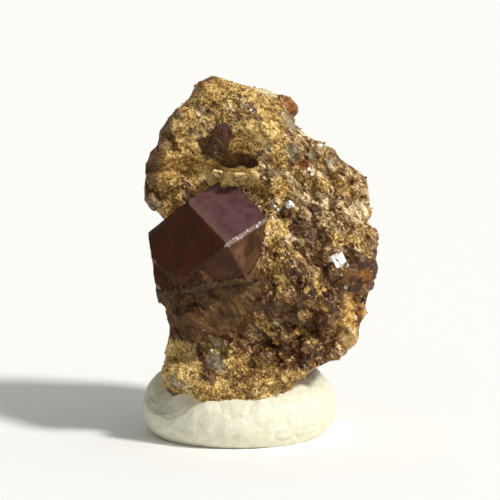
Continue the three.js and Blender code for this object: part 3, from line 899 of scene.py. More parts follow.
def build_small_garnet(settings):
    """The small crystal: the same growth faces, more worn."""
    points, normals, faces = crystal_skin(SMALL_GARNET, settings.detail / MM * SMALL_SHARE)
    group = group_planes(SMALL_GARNET)
    worn = edge_wear(points, group, 0.14) * ramp(smooth_noise(points, 0.25, 210), -0.2, 0.8)
    dimples = 0.02 * smooth_noise(points, 0.4, 211) ** 2
    points = points - normals * (SMALL_WEAR * worn + dimples)[:, None]
    attributes = {"upper": ramp(normals @ UPPER_FACE, 0.9, 0.99), "edge": edge_wear(points, group, 0.15)}
    return mesh_piece("small_crystal", points, faces, attributes)


def build_amber_garnets(settings):
    """The amber crystals, grown together, worn round and broken into smaller clear grains."""
    group = group_planes(AMBER_GARNETS)
    forms = [hull_of(corners_of(planes)) for planes in group]
    points, normals, faces = skin_of(joined_form(forms), settings.detail / MM * AMBER_SHARE)
    facet, seams, tone = broken_cells(points + 0.15 * cloud_noise(points, 0.8, 2, 231)[:, None], 0.9, 230)
    bits, _, _ = broken_cells(points, 0.4, 235)
    wear = edge_wear(points, group, 0.35)
    points = evened(points, faces, 6)
    cut = 0.13 * np.clip(facet, -0.7, 0.7) + 0.05 * bits - 0.05 * (1 - ramp(seams, 0.0, 0.06)) - 0.1
    points = evened(points + normals * cut[:, None], faces, 1)
    points += FRONT * (0.15 * ramp(normals @ FRONT, 0.0, 0.5))[:, None]
    points = drawn_inside(inside_box(points), STONE_OUTLINE)
    attributes = {"tone": tone, "edge": wear, "golden": ramp(points[:, 2], 10.6, 9.4)}
    return mesh_piece("amber_crystals", points, faces, attributes, smooth=True)


# Bright faces and dark grains

# Small faces turned towards the light: places to the right and up as seen from the front, and half the size.
# The first is far larger than the rest, and its turn is fixed.
BRIGHT_FACES = (
    (5.6, 13.25, 0.78), (2.18, 17.25, 0.3), (1.3, 16.85, 0.17), (1.05, 17.1, 0.12), (4.34, 21.6, 0.2),
    (3.52, 19.84, 0.13), (3.74, 19.47, 0.12), (6.24, 11.25, 0.17), (-0.75, 24.15, 0.11), (-0.45, 24.0, 0.1),
    (0.3, 10.7, 0.13), (7.1, 17.25, 0.12), (2.4, 20.9, 0.1), (7.0, 8.9, 0.14), (6.6, 8.1, 0.12),
    (-3.6, 6.5, 0.12),
)
FIRST_SPIN = 1.35
FIRST_SUNK, REST_SUNK = 0.73, 0.6  # how deep they lie in the rock, as shares of half their size
DARK_UNEVEN, DARK_SUNK = 0.35, 0.85  # the dark grains' stretch and depth, as the same shares
# Small dark garnets that stand half out of the rock: the same three numbers for each.
DARK_GRAINS = (
    (3.2, 15.1, 0.85), (0.4, 10.45, 0.5), (1.9, 16.75, 0.55), (3.9, 16.7, 0.55), (3.0, 11.3, 0.5),
    (2.6, 20.9, 0.4), (-0.6, 24.0, 0.4), (2.3, 9.0, 0.5),
)


def turned_to(direction, spin):
    """Crystal axes with one face towards a direction, spun round it."""
    first = unit(np.array(direction, float))
    second = unit(np.cross(first, [0.0, 0.3, 1.0]))
    third = np.cross(first, second)
    across = math.cos(spin) * second + math.sin(spin) * third
    along = np.cross(first, across)
    return np.stack([unit(first + across), unit(first - across), along])


def build_bright_faces(settings):
    """Small crystals with a face turned so that it mirrors the main light to the front."""
    rng = np.random.default_rng(settings.seed + 3)
    found = places_on_front(rock_tree(), [face[:2] for face in BRIGHT_FACES])
    corners, triangles = garnet_solid()
    glance = unit(FRONT + unit(np.array(KEY_DIRECTION)))
    forms = []
    for n, ((place, _), (_, _, size)) in enumerate(zip(found, BRIGHT_FACES)):
        direction = glance + 0.05 * rng.normal(size=3)
        spin, sunk = (FIRST_SPIN, FIRST_SUNK) if n == 0 else (rng.uniform(0, math.pi), REST_SUNK)
        shape = corners @ turned_to(direction, spin) * size
        forms.append((shape + place - glance * size * sunk, triangles))
    points, faces = joined_form(forms)
    return mesh_piece("bright_faces", inside_box(points, 0.0), faces)


def build_dark_grains(settings):
    """Small dark garnets with flat faces, half sunk in the rock."""
    rng = np.random.default_rng(settings.seed + 4)
    found = places_on_front(rock_tree(), [grain[:2] for grain in DARK_GRAINS])
    corners, triangles = garnet_solid()
    forms = []
    for (place, _), (_, _, size), turn in zip(found, DARK_GRAINS, random_turns(len(found), rng)):
        shape = (corners * (1 + DARK_UNEVEN * rng.uniform(-1, 1, 3))) @ turn.T * size
        forms.append((shape + place - FRONT * size * DARK_SUNK, triangles))
    points, faces = joined_form(forms)
    tone = np.repeat(rng.random(len(forms)), len(corners))
    return mesh_piece("dark_grains", inside_box(points, 0.0), faces, {"tone": tone})


# Small grains

CRUMB_GAP = 0.12  # how far the crumbs keep from the dark crystals, in millimetres
# A cube's corners, and its faces as two triangles each.
CUBE = (
    np.array(list(itertools.product((-1, 1), repeat=3))) * 0.62,
    [
        (0, 1, 3), (0, 3, 2), (4, 6, 7), (4, 7, 5), (0, 4, 5), (0, 5, 1),
        (2, 3, 7), (2, 7, 6), (0, 2, 6), (0, 6, 4), (1, 5, 7), (1, 7, 3),
    ],
)


def build_crumbs(settings):
    """Small ochre crumbs on the crust."""
    rng = np.random.default_rng(settings.seed)
    points, normals, _, masks = read_rock()
    crystals = group_planes(LARGE_GARNET) + group_planes(SMALL_GARNET)
    clear = distance_to_group(points, crystals)[0] > CRUMB_GAP
    weight = (masks["crust"] ** 2 + 0.12) * (1 - 0.8 * masks["pit"]) * clear * (1 - 0.9 * masks["orange"])
    weight *= (points[:, 2] > 3.0) * (1 - 0.8 * masks["dark"])
    weight = np.clip(weight, 0, None)
    rows = rng.choice(len(points), size=settings.crumb_count, replace=False, p=weight / weight.sum())
    sizes = 0.045 + 0.07 * rng.random(len(rows)) ** 2
    places = points[rows] + normals[rows] * (sizes * 0.35)[:, None]
    crumbs, faces, number = many_solids(CUBE, places, sizes, random_turns(len(rows), rng), 0.4, rng)
    attributes = {"tone": rng.random(len(rows))[number]}
    return mesh_piece("ochre_crumbs", inside_box(crumbs, 0.0), faces, attributes)


# The putty

# How far the putty's front rim is raised against the rock: distances to the right, and the rise at each.
PUTTY_RIM = ((-8.5, -7.2, -5.8, -4.2, -2.8, 0.0), (-0.8, -0.8, 0.0, 0.6, 0.2, 0.0))


def build_putty(settings):
    """The pressed putty pad: soft folds and creases over the solid's form, closed against the rock's foot."""
    points, normals, faces = skin_of(cad_form("putty_foot"), settings.detail / MM)
    rock_points, rock_faces = cad_form("host_rock")
    tree = BVHTree.FromPolygons([Vector(point) for point in rock_points], rock_faces)
    pull = np.zeros_like(points)
    gaps = np.full(len(points), 9.0)
    for n, point in enumerate(points):
        nearest, _, _, distance = tree.find_nearest(Vector(point), 2.5)
        if nearest is not None:
            pull[n] = (np.array(nearest) - point) * (1 + 0.16 / max(distance, 0.05))
            gaps[n] = distance
    near = 1 - ramp(gaps, 0.34, 0.8)
    pull = evened(pull * near[:, None], faces, 5)
    lift = np.interp(points[:, 0], *PUTTY_RIM) * (1 - ramp(gaps, 0.8, 2.4))
    lift *= 1 - ramp(points[:, 1], -1.0, 1.0)
    folds = cloud_noise(points * np.array([1.0, 1.0, 1.7]), 2.6, 3, 300)
    creases = np.abs(smooth_noise(points * np.array([1.0, 1.0, 2.0]), 1.9, 310))
    grain = smooth_noise(points, 0.33, 320)
    relief = 0.16 * folds - 0.08 * (1 - ramp(creases, 0.0, 0.12)) + 0.02 * grain
    relief *= ramp(points[:, 2], 0.0, 0.7) * (1 - near)
    points = points + normals * relief[:, None] + pull
    points[:, 2] += lift * ramp(points[:, 2], 1.0, 2.5)
    points[:, 2] = np.maximum(points[:, 2], 0.0)
    return mesh_piece("putty_pad", inside_box(points, 0.0), faces, smooth=True)


# Materials

def per_mm(size):
    """The texture scale that gives features of a size in millimetres."""
    return 1 / (size * MM)


def socket_value(socket, value):
    """Joins a socket to another, or sets its value."""
    if isinstance(value, bpy.types.NodeSocket):
        socket.id_data.links.new(value, socket)
    elif isinstance(value, tuple) and len(value) == 3 and socket.type == "RGBA":
        socket.default_value = (*value, 1)
    else:
        socket.default_value = value


def feed(node, **values):
    """Gives values to a node's inputs, which are named with underscores for spaces."""
    for label, value in values.items():
        socket_value(node.inputs[label.replace("_", " ")], value)


def add_node(tree, kind, inputs=None, **settings):
    """A new node with its settings and inputs."""
    node = tree.nodes.new(kind)
    for name, value in settings.items():
        setattr(node, name, value)
    for name, value in (inputs or {}).items():
        socket_value(node.inputs[name], value)
    return node


def mixed(tree, share, first, second):
    """A colour from first at 0 to second at 1."""
    return add_node(tree, "ShaderNodeMix", {0: share, 6: first, 7: second}, data_type="RGBA").outputs[2]


def laid_over(tree, colour, *layers):
    """A colour with others laid over it one after another, each with its share."""
    for share, layer in layers:
        colour = mixed(tree, share, colour, layer)
    return colour


def between(tree, value, low, high, start=0.0, end=1.0):
    """A smooth ramp of a value from start at low to end at high."""
    inputs = dict(enumerate((value, low, high, start, end)))
    return add_node(tree, "ShaderNodeMapRange", inputs, interpolation_type="SMOOTHSTEP").outputs[0]


def greater(tree, first, second):
    return add_node(tree, "ShaderNodeMath", {0: first, 1: second}, operation="MAXIMUM").outputs[0]


def product(tree, first, second):
    return add_node(tree, "ShaderNodeMath", {0: first, 1: second}, operation="MULTIPLY").outputs[0]


def vector_maths(tree, operation, first, second=(0.0, 0.0, 0.0)):
    """A step of vector arithmetic. To scale a vector, the second value is a number."""
    node = add_node(tree, "ShaderNodeVectorMath", {0: first}, operation=operation)
    socket_value(node.inputs["Scale" if operation == "SCALE" else 1], second)
    return node.outputs["Value" if operation == "DOT_PRODUCT" else "Vector"]


def summed(tree, start, *parts):
    """A start value plus each given value times its weight."""
    result = start
    for value, weight in parts:
        inputs = {0: value, 1: weight, 2: result}
        result = add_node(tree, "ShaderNodeMath", inputs, operation="MULTIPLY_ADD").outputs[0]
    return result


def ramped(tree, value, stops):
    """A colour for a value from 0 to 1, from places along that range and their colours."""
    node = add_node(tree, "ShaderNodeValToRGB", {0: value})
    elements = node.color_ramp.elements
    for place, _ in stops[2:]:
        elements.new(place)
    for element, (place, colour) in zip(elements, stops):
        element.position = place
        element.color = (*colour, 1)
    return node.outputs[0]


def mask(tree, name):
    """A number stored at the points of the mesh."""
    return add_node(tree, "ShaderNodeAttribute", attribute_name=name).outputs["Fac"]


def object_place(tree):
    """Texture coordinates in the object's own space, which is the shared frame."""
    return add_node(tree, "ShaderNodeTexCoord").outputs["Object"]


def noise(tree, size, detail=2.0, roughness=0.55, swirl=0.0, place=None):
    """Noise from 0 to 1 with features of a size in millimetres, drawn out into threads by swirl."""
    place = object_place(tree) if place is None else place
    node = add_node(tree, "ShaderNodeTexNoise")
    feed(node, Vector=place, Scale=per_mm(size), Detail=detail, Roughness=roughness, Distortion=swirl)
    return node.outputs[0]


def layered_place(tree, stretch=DRAWN_OUT[0]):
    """Texture coordinates drawn out along the rock's layers."""
    place = object_place(tree)
    joined = add_node(tree, "ShaderNodeCombineXYZ")
    for socket, axis, share in zip(joined.inputs, LAYER_AXES, (stretch, 1.0, 1.0)):
        socket_value(socket, vector_maths(tree, "DOT_PRODUCT", place, tuple(axis * share)))
    return joined.outputs[0]


def facet_normals_group():
    """Turns a surface's normal a little differently in each small cell, like tiny broken faces."""
    if "facet_normals" in bpy.data.node_groups:
        return bpy.data.node_groups["facet_normals"]
    tree = bpy.data.node_groups.new("facet_normals", "ShaderNodeTree")
    for label, kind in (("Place", "Vector"), ("Scale", "Float"), ("Tilt", "Float"), ("Normal", "Vector")):
        tree.interface.new_socket(label, in_out="INPUT", socket_type=f"NodeSocket{kind}")
    for label, kind in (("Normal", "Vector"), ("Tone", "Float")):
        tree.interface.new_socket(label, in_out="OUTPUT", socket_type=f"NodeSocket{kind}")
    given = add_node(tree, "NodeGroupInput").outputs
    cells = add_node(tree, "ShaderNodeTexVoronoi", {"Vector": given["Place"], "Scale": given["Scale"]})
    centred = vector_maths(tree, "SUBTRACT", cells.outputs["Color"], (0.5, 0.5, 0.5))
    tilted = vector_maths(tree, "ADD", vector_maths(tree, "SCALE", centred, given["Tilt"]), given["Normal"])
    tone = add_node(tree, "ShaderNodeSeparateColor", {0: cells.outputs["Color"]}).outputs[0]
    feed(add_node(tree, "NodeGroupOutput"), Normal=vector_maths(tree, "NORMALIZE", tilted), Tone=tone)
    return tree


def facet_normals(tree, place, size, tilt, normal=None):
    """A normal that differs in each small cell of a size in millimetres, and a number for each cell."""
    node = add_node(tree, "ShaderNodeGroup", node_tree=facet_normals_group())
    if normal is None:
        normal = add_node(tree, "ShaderNodeNewGeometry").outputs["Normal"]
    feed(node, Place=place, Scale=per_mm(size), Tilt=tilt, Normal=normal)
    return node.outputs["Normal"], node.outputs["Tone"]


def warped_place(tree, size, reach):
    """Texture coordinates shifted by up to reach in swirls of a size, both in millimetres."""
    place = object_place(tree)
    cloud = add_node(tree, "ShaderNodeTexNoise", {"Vector": place, "Scale": per_mm(size)}).outputs["Color"]
    centred = vector_maths(tree, "SUBTRACT", cloud, (0.5, 0.5, 0.5))
    return vector_maths(tree, "ADD", place, vector_maths(tree, "SCALE", centred, 2 * reach * MM))


def bumped(tree, height, distance, strength=1.0, normal=None):
    """A normal from a height map that is distance millimetres deep, over another normal if one is given."""
    inputs = {"Height": height, "Distance": distance * MM, "Strength": strength}
    if normal is not None:
        inputs["Normal"] = normal
    return add_node(tree, "ShaderNodeBump", inputs).outputs[0]


def new_material(name, **values):
    """A new material with values set on its shader: the material, its node tree and the shader."""
    material = bpy.data.materials.new(name)
    material.use_nodes = True
    shader = material.node_tree.nodes["Principled BSDF"]
    feed(shader, **values)
    return material, material.node_tree, shader


def rock_material(settings):
    """Granular ochre crust and bare brown grains, with stained, grey, clear and dark parts, and painted light
    and shade.
    """
    material, tree, shader = new_material(
        "garnet_rock", Specular_IOR_Level=0.45, Specular_Tint=(1.0, 0.86, 0.66))
    height = mask(tree, "height")
    layers = layered_place(tree)
    fine = noise(tree, 0.15, 2.0, 0.7)
    threads = noise(tree, 0.2, 2.0, 0.65, 1.2, layered_place(tree, 0.25))
    bare = between(tree, mask(tree, "crust"), 0.6, 0.25)
    grit = bumped(tree, fine, 0.14, between(tree, bare, 0.0, 1.0, 1.0, 0.2))
    grit = bumped(tree, threads, 0.1, 0.6, grit)
    crust_normal, bit = facet_normals(tree, warped_place(tree, 0.3, 0.12), 0.26, 0.6, grit)
    glass_normal, chip = facet_normals(tree, layers, 0.28, 0.7, grit)
    # The crust's and the bare grains' levels rise with height: painted shade in the skin's low points and
    # painted light on its crests.
    crust_level = summed(
        tree, -2.12, (noise(tree, 2.4, 2.0), 1.0), (noise(tree, 0.7, 3.0, 0.6, 1.0), 0.9), (threads, 1.3),
        # the ochre mask raises the crust's level as painted light
        (fine, 1.7), (bit, 0.3), (height, 1.0), (mask(tree, "ochre"), 0.3))
    crust = ramped(tree, crust_level, (
        (0.0, (0.06, 0.02, 0.005)), (0.28, (0.2, 0.095, 0.022)), (0.5, tuple(settings.crust_colour)),
        (0.7, (0.72, 0.46, 0.13)), (0.95, (0.98, 0.76, 0.34))))
    spots = between(tree, noise(tree, 0.38, 3.0, 0.65, 0.8), 0.42, 0.34, 0.0, 0.75)
    crust = mixed(tree, spots, crust, (0.08, 0.026, 0.008))
    glass_level = summed(
        tree, -1.8, (mask(tree, "tone"), 0.25), (mask(tree, "chip"), 0.2), (chip, 0.35),
        (noise(tree, 0.5, 4.0, 0.65, 1.0, layers), 1.0), (threads, 1.3), (fine, 1.1), (height, 0.6),
        (mask(tree, "pale"), 0.35))
    glass = ramped(tree, glass_level, (
        (0.0, (0.025, 0.008, 0.003)), (0.3, (0.085, 0.032, 0.009)), (0.5, tuple(settings.glass_colour)),
        (0.72, (0.43, 0.27, 0.11)), (0.95, (0.86, 0.72, 0.45))))
    greyish = ramped(tree, fine, ((0.3, (0.16, 0.125, 0.065)), (0.65, (0.5, 0.44, 0.29))))
    stain = ramped(tree, noise(tree, 0.6, 3.0, 0.6, 1.0), (
        (0.35, (0.1, 0.03, 0.008)), (0.5, (0.24, 0.08, 0.018)), (0.7, (0.5, 0.22, 0.07))))
    clear = summed(tree, -0.75, (noise(tree, 1.1, 2.0), 1.2), (threads, 0.7), (fine, 0.5))
    amber = ramped(tree, clear, (
        (0.3, (0.025, 0.007, 0.002)), (0.5, (0.085, 0.027, 0.005)), (0.75, (0.36, 0.14, 0.024))))
    golden = ramped(tree, summed(tree, -0.1, (clear, 1.0), (bit, 0.3)), (
        (0.2, (0.13, 0.05, 0.01)), (0.45, (0.42, 0.22, 0.05)), (0.7, (0.85, 0.58, 0.2))))
    murk = summed(tree, -0.26, (fine, 0.6), (threads, 0.35), (noise(tree, 1.2, 3.0), 0.55))
    shade = ramped(tree, murk, (
        (0.38, (0.034, 0.012, 0.003)), (0.5, (0.088, 0.036, 0.009)), (0.64, (0.17, 0.085, 0.024))))
    colour = laid_over(
        tree, glass,
        (between(tree, mask(tree, "crust"), 0.25, 0.6), crust),
        (product(tree, mask(tree, "grey"), 0.65), greyish),
        (mask(tree, "orange"), stain),
        (mask(tree, "cream"), (0.74, 0.66, 0.4)),
        (mask(tree, "amber"), amber),
        (mask(tree, "golden"), golden),
        # dark parts, with painted shade under the large crystal and on the left rim, and painted shadow in
        # the hollow
        (product(tree, mask(tree, "dark"), 0.92), shade),
        # painted shadow just below the large crystal
        (product(tree, mask(tree, "shadow_below_crystal"), 0.7), (0.02, 0.008, 0.003)),
    )
    normals = {0: bare, 4: crust_normal, 5: glass_normal}
    normal = add_node(tree, "ShaderNodeMix", normals, data_type="VECTOR").outputs[1]
    gloss = between(tree, summed(tree, bare, (mask(tree, "amber"), -0.4)), 0.0, 1.0, 0.75, 0.18)
    roughness = greater(tree, gloss, product(tree, mask(tree, "dark"), 0.7))
    feed(shader, Base_Color=colour, Roughness=roughness, Normal=normal)
    return material


def crumb_material(settings):
    """Ochre of three tones."""
    material, tree, shader = new_material("ochre_crumbs", Roughness=0.55)
    tone = mask(tree, "tone")
    colour = laid_over(
        tree, (0.1, 0.045, 0.012),
        (between(tree, tone, 0.0, 0.45), tuple(settings.crust_colour)),
        (between(tree, tone, 0.5, 0.95), (0.68, 0.45, 0.15)),
    )
    feed(shader, Base_Color=colour)
    return material


def bright_face_material():
    """Pale striped faces; their pale colour is a painted highlight added to their real reflection of the main
    light.
    """
    material, tree, shader = new_material("bright_faces", Specular_IOR_Level=0.5)
    stripes = between(tree, noise(tree, 0.3, 2.0, 0.6, 1.0, layered_place(tree, 0.3)), 0.5, 0.6)
    # The pale colour is a painted highlight.
    feed(shader, Base_Color=mixed(tree, stripes, (0.75, 0.73, 0.66), (0.42, 0.37, 0.27)),
         Roughness=between(tree, stripes, 0.0, 1.0, 0.3, 0.6))
    return material


def dark_grain_material():
    """Dark brown garnet with paler patches."""
    material, tree, shader = new_material(
        "small_grains", Roughness=0.22, Specular_IOR_Level=0.4, Specular_Tint=(1.0, 0.88, 0.72))
    level = summed(tree, -0.75, (mask(tree, "tone"), 0.3), (noise(tree, 0.4, 4.0, 0.75, 1.5), 2.0))
    colour = ramped(tree, level, (
        (0.1, (0.025, 0.009, 0.006)), (0.35, (0.09, 0.038, 0.018)), (0.6, (0.25, 0.15, 0.07)),
        (0.85, (0.6, 0.47, 0.28))))
    feed(shader, Base_Color=colour, Normal=bumped(tree, noise(tree, 0.2, 2.0, 0.6), 0.1))
    return material


def dark_garnet_material(settings):
    """Blotched dark brown, with a purple upper face that is partly a painted sheen, dusty edges, a pale strip
    along one edge that is partly painted highlight, and a few painted glints.
    """
    material, tree, shader = new_material("dark_garnet", Specular_IOR_Level=0.15)
    fine = noise(tree, 0.14, 3.0, 0.7)
    broad = noise(tree, 1.5, 4.0, 0.6)
    red, green, blue = settings.side_colour
    blotch = between(tree, summed(tree, -0.2, (broad, 1.0), (fine, 0.4)), 0.3, 0.7)
    side = mixed(tree, blotch, (1.12 * red, 1.1 * green, blue), (0.036, 0.012, 0.006))
    right = ramped(tree, summed(tree, -0.5, (noise(tree, 1.2, 3.0), 1.2), (fine, 0.8)), (
        (0.2, (0.032, 0.012, 0.006)), (0.5, (0.068, 0.029, 0.014)), (0.8, (0.15, 0.075, 0.034))))
    # The upper face's purple is partly a painted sheen over the crystal's dark colour.
    upper = laid_over(
        tree, tuple(settings.upper_colour_and_sheen),
        (between(tree, noise(tree, 0.8, 4.0), 0.4, 0.65), (0.07, 0.03, 0.034)),
        (between(tree, fine, 0.55, 0.75, 0.0, 0.5), (0.2, 0.12, 0.11)),
    )
    dust = product(tree, mask(tree, "dust"), between(tree, fine, 0.35, 0.6, 0.1, 0.5))
    speckle = between(tree, noise(tree, 0.3, 3.0, 0.7), 0.42, 0.6, 0.0, 0.8)
    # Pale strip on the edge between the upper and right faces: partly a worn bevel, partly painted highlight;
    # the glints are painted highlights.
    ridge = product(tree, mask(tree, "ridge"), between(tree, fine, 0.3, 0.5, 0.35, 0.95))
    glint = greater(tree, product(tree, mask(tree, "ridge"), 0.9), mask(tree, "tip"))
    glint = product(tree, glint, between(tree, noise(tree, 0.22, 1.0), 0.6, 0.66))
    colour = laid_over(
        tree, side,
        (mask(tree, "right"), right),
        (mask(tree, "upper"), upper),
        (dust, (0.15, 0.1, 0.075)),
        (product(tree, mask(tree, "low"), speckle), (0.1, 0.05, 0.02)),
        (ridge, (0.27, 0.205, 0.17)),
        (glint, (0.95, 0.92, 0.9)),
    )
    feed(shader, Base_Color=colour, Roughness=between(tree, broad, 0.3, 0.7, 0.32, 0.5),
         Normal=bumped(tree, fine, 0.012))
    return material


def small_garnet_material():
    """Red-brown with a purple upper face and painted glints in pale spots along its edges."""
    material, tree, shader = new_material("small_dark_garnet", Roughness=0.22, Specular_IOR_Level=0.3)
    # worn: pale spots along the edges that are painted glints.
    worn = product(tree, mask(tree, "edge"), between(tree, noise(tree, 0.2, 2.0), 0.67, 0.72))
    colour = laid_over(
        tree, (0.13, 0.045, 0.018),
        (between(tree, noise(tree, 0.5), 0.4, 0.6), (0.045, 0.018, 0.012)),
        (mask(tree, "upper"), (0.06, 0.026, 0.03)),
        (worn, (0.7, 0.6, 0.55)),
    )
    feed(shader, Base_Color=colour, Normal=bumped(tree, noise(tree, 0.12, 3.0), 0.03))
    return material


def amber_material(settings):
    """Amber that is golden lower down and slightly clear, with small broken faces."""
    material, tree, shader = new_material(
        "amber_garnet", Roughness=0.28, IOR=1.75, Transmission_Weight=0.15, Specular_IOR_Level=0.3)
    level = summed(
        tree, -0.8, (mask(tree, "tone"), 0.3), (noise(tree, 0.9, 3.0, 0.6, 1.0), 1.2),
        (noise(tree, 0.15, 2.0), 0.7), (mask(tree, "edge"), 0.2), (mask(tree, "golden"), 0.3))
    colour = ramped(tree, level, (
        (0.0, (0.03, 0.009, 0.003)), (0.3, (0.1, 0.035, 0.008)), (0.55, tuple(settings.amber_colour)),
        (0.8, (0.6, 0.36, 0.1)), (1.0, (0.9, 0.7, 0.36))))
    normal, _ = facet_normals(tree, warped_place(tree, 0.4, 0.15), 0.55, 0.4)
    feed(shader, Base_Color=colour, Normal=normal)
    return material


def putty_material(settings):
    """Off-white, blotched, with a few dark specks."""
    material, tree, shader = new_material("white_putty", Roughness=0.6)
    colour = laid_over(
        tree, tuple(settings.putty_colour),
        (between(tree, noise(tree, 0.6, 3.0), 0.35, 0.65), (0.7, 0.68, 0.51)),
        (between(tree, noise(tree, 0.45, 1.0), 0.76, 0.8), (0.2, 0.19, 0.16)),
    )
    feed(shader, Base_Color=colour, Normal=bumped(tree, noise(tree, 0.22, 3.0, 0.6), 0.05))
    return material


def finish_piece(piece, material, node):
    """Gives a piece its material and files it under the part of the solid model that it shows."""
    piece.data.materials.append(material)
    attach(piece, "root")
    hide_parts(node)


# Stage

LENS = 182.4  # the camera's focal length in millimetres
LOOKED_AT = (-0.9, 0.0, 13.95)  # the point in the middle of the picture, in the solid model's own millimetres


def sun_light(name, direction, strength, size, colour):
    """A distant light from a direction, with its apparent size in degrees."""
    light = bpy.data.lights.new(name, "SUN")
    light.energy = strength
    light.angle = math.radians(size)
    light.color = colour
    obj = bpy.data.objects.new(name, light)
    obj.rotation_euler = Vector(direction).to_track_quat("Z", "Y").to_euler()
    bpy.context.scene.collection.objects.link(obj)


def build_floor(settings):
    """A wide pale floor."""
    points = np.array([(-3, -1, 0), (3, -1, 0), (3, 4, 0), (-3, 4, 0)]) / MM
    floor = mesh_piece("floor", points, [(0, 1, 2, 3)])
    colour = tuple(settings.floor_colour)
    material, _, _ = new_material("pale_floor", Roughness=0.9, Base_Color=colour)
    floor.data.materials.append(material)


def build_camera(settings):
    """The camera, which looks slightly down at the specimen's front."""
    camera = bpy.data.cameras.new("camera")
    camera.lens = LENS
    camera.clip_start = 0.01
    obj = bpy.data.objects.new("camera", camera)
    target = Vector(np.array(LOOKED_AT) + SHIFT) * MM
    obj.location = target + settings.camera_distance * Vector(FRONT)
    obj.rotation_euler = Vector(-FRONT).to_track_quat("-Z", "Y").to_euler()
    bpy.context.scene.collection.objects.link(obj)
    bpy.context.scene.camera = obj


def build_world(settings):
    """Pale surroundings, brighter on the right."""
    world = bpy.data.worlds.new("studio")
    world.use_nodes = True
    tree = world.node_tree
    place = add_node(tree, "ShaderNodeTexCoord").outputs["Generated"]
    side = add_node(tree, "ShaderNodeSeparateXYZ", {0: place}).outputs["X"]
    strength = between(tree, side, -1.0, 1.0, 0.5 * settings.surroundings, 1.55 * settings.surroundings)
    feed(tree.nodes["Background"], Color=(1.0, 0.995, 0.975), Strength=strength)
    bpy.context.scene.world = world


# Settings

class RockSettings(PropertyGroup):
    detail: FloatProperty(name="Skin Detail", description="Size of the skin's smallest faces",
                          default=0.0001, min=0.00008, max=0.0005, unit="LENGTH", precision=5)
    seed: IntProperty(name="Seed", description="Which set of crumbs and grains is scattered",
                      default=7, min=0)
    crumb_count: IntProperty(name="Crumbs", description="How many ochre crumbs cover the crust",
                             default=1500, min=100, max=16000)
    crust_colour: FloatVectorProperty(name="Crust Colour", description="Middle colour of the ochre crust",
                                      default=(0.395, 0.24, 0.074), subtype="COLOR", min=0, max=1)
    glass_colour: FloatVectorProperty(name="Grain Colour", description="Middle colour of the bare grains",
                                      default=(0.17, 0.075, 0.021), subtype="COLOR", min=0, max=1)


class CrystalSettings(PropertyGroup):
    detail: FloatProperty(name="Face Detail", description="Size of the crystals' smallest faces",
                          default=0.00008, min=0.00006, max=0.0005, unit="LENGTH", precision=5)
    # The large crystal's upper face colour is partly a painted purple sheen.
    upper_colour_and_sheen: FloatVectorProperty(name="Upper Colour", description="The large crystal's upper face",
                                      default=(0.105, 0.046, 0.05), subtype="COLOR", min=0, max=1)
    side_colour: FloatVectorProperty(name="Side Colour", description="The large crystal's other faces",
                                     default=(0.06, 0.014, 0.005), subtype="COLOR", min=0, max=1)
    amber_colour: FloatVectorProperty(name="Amber Colour", description="Lighter colour of the amber crystals",
                                      default=(0.42, 0.19, 0.045), subtype="COLOR", min=0, max=1)


class PuttySettings(PropertyGroup):
    detail: FloatProperty(name="Putty Detail", description="Size of the putty's smallest faces",
                          default=0.00013, min=0.0001, max=0.0005, unit="LENGTH", precision=5)
    putty_colour: FloatVectorProperty(name="Putty Colour", description="Colour of the putty",
                                      default=(0.77, 0.765, 0.62), subtype="COLOR", min=0, max=1)


class StageSettings(PropertyGroup):
    camera_distance: FloatProperty(name="Camera Distance", description="From the specimen to the camera",
                                   default=0.19, min=0.05, max=2.0, unit="LENGTH")
    key_strength: FloatProperty(name="Key Light", description="Strength of the light from the upper right",
                                default=2.9, min=0.0, max=10.0)
    surroundings: FloatProperty(name="Surroundings", description="Brightness of the pale surroundings",
                                default=0.4, min=0.0, max=3.0)
    floor_colour: FloatVectorProperty(name="Floor Colour", description="Colour of the floor",
                                      default=(0.99, 0.99, 0.975), subtype="COLOR", min=0, max=1)


# Operators

class GARNET_OT_rock(Operator):
    """Builds the rock's broken and crusted surface"""
    bl_idname = "garnet.rock"
    bl_label = "Build Rock"

    def execute(self, context):
        settings = context.scene.garnet_rock
        material = rock_material(settings)
        for piece in build_rock(settings):
            finish_piece(piece, material, "host_rock")
        return {"FINISHED"}


class GARNET_OT_small_grains(Operator):
    """Scatters ochre crumbs over the rock and sets bright faces and dark grains in it"""
    bl_idname = "garnet.small_grains"
    bl_label = "Build Small Grains"

    def execute(self, context):
        settings = context.scene.garnet_rock
        finish_piece(build_crumbs(settings), crumb_material(settings), "host_rock")
        finish_piece(build_bright_faces(settings), bright_face_material(), "host_rock")
        finish_piece(build_dark_grains(settings), dark_grain_material(), "host_rock")
        return {"FINISHED"}


class GARNET_OT_large_crystal(Operator):
    """Builds the large dark crystal"""
    bl_idname = "garnet.large_crystal"
    bl_label = "Build Large Crystal"

    def execute(self, context):
        settings = context.scene.garnet_crystals
        piece = build_large_garnet(settings)
        finish_piece(piece, dark_garnet_material(settings), "large_garnet")
        return {"FINISHED"}


class GARNET_OT_small_crystal(Operator):
    """Builds the small dark crystal near the top"""
    bl_idname = "garnet.small_crystal"
    bl_label = "Build Small Crystal"

    def execute(self, context):
        settings = context.scene.garnet_crystals
        piece = build_small_garnet(settings)
        finish_piece(piece, small_garnet_material(), "small_garnet")
        return {"FINISHED"}


class GARNET_OT_amber_crystals(Operator):
    """Builds the amber crystals at the lower right"""
    bl_idname = "garnet.amber_crystals"
    bl_label = "Build Amber Crystals"

    def execute(self, context):
        settings = context.scene.garnet_crystals
        piece = build_amber_garnets(settings)
        finish_piece(piece, amber_material(settings), "amber_garnets")
        return {"FINISHED"}


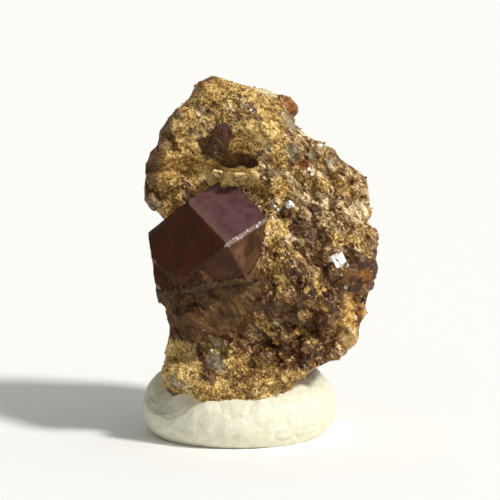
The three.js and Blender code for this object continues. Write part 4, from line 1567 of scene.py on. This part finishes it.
class GARNET_OT_putty(Operator):
    """Builds the putty foot"""
    bl_idname = "garnet.putty"
    bl_label = "Build Putty"

    def execute(self, context):
        settings = context.scene.garnet_putty
        finish_piece(build_putty(settings), putty_material(settings), "putty_foot")
        return {"FINISHED"}


class GARNET_OT_stage(Operator):
    """Builds the floor, the lights and the camera"""
    bl_idname = "garnet.stage"
    bl_label = "Build Stage"

    def execute(self, context):
        settings = context.scene.garnet_stage
        build_floor(settings)
        build_world(settings)
        build_camera(settings)
        sun_light("key_light", KEY_DIRECTION, settings.key_strength, 9.0, (1.0, 0.985, 0.95))
        context.scene.view_settings.view_transform = "Standard"
        return {"FINISHED"}


class GARNET_PT_specimen(Panel):
    """Buttons and settings for each part of the specimen"""
    bl_idname = "GARNET_PT_specimen"
    bl_label = "Garnet Specimen"
    bl_space_type = "VIEW_3D"
    bl_region_type = "UI"
    bl_category = "Garnet"

    def draw(self, context):
        for name, (kind, operators) in PANEL_ROWS.items():
            box = self.layout.box()
            for label in kind.__annotations__:
                box.prop(getattr(context.scene, name), label)
            for operator in operators:
                box.operator(operator.bl_idname)


PANEL_ROWS = {
    "garnet_rock": (RockSettings, (GARNET_OT_rock, GARNET_OT_small_grains)),
    "garnet_crystals": (CrystalSettings,
                        (GARNET_OT_large_crystal, GARNET_OT_small_crystal, GARNET_OT_amber_crystals)),
    "garnet_putty": (PuttySettings, (GARNET_OT_putty,)),
    "garnet_stage": (StageSettings, (GARNET_OT_stage,)),
}


def register():
    for name, (kind, operators) in PANEL_ROWS.items():
        bpy.utils.register_class(kind)
        setattr(bpy.types.Scene, name, PointerProperty(type=kind))
        for operator in operators:
            bpy.utils.register_class(operator)
    bpy.utils.register_class(GARNET_PT_specimen)


def unregister():
    bpy.utils.unregister_class(GARNET_PT_specimen)
    for name, (kind, operators) in reversed(PANEL_ROWS.items()):
        for operator in reversed(operators):
            bpy.utils.unregister_class(operator)
        delattr(bpy.types.Scene, name)
        bpy.utils.unregister_class(kind)


def main():
    register()
    bpy.ops.garnet.rock()
    bpy.ops.garnet.small_grains()
    bpy.ops.garnet.large_crystal()
    bpy.ops.garnet.small_crystal()
    bpy.ops.garnet.amber_crystals()
    bpy.ops.garnet.putty()
    bpy.ops.garnet.stage()


if __name__ == "__main__":
    main()
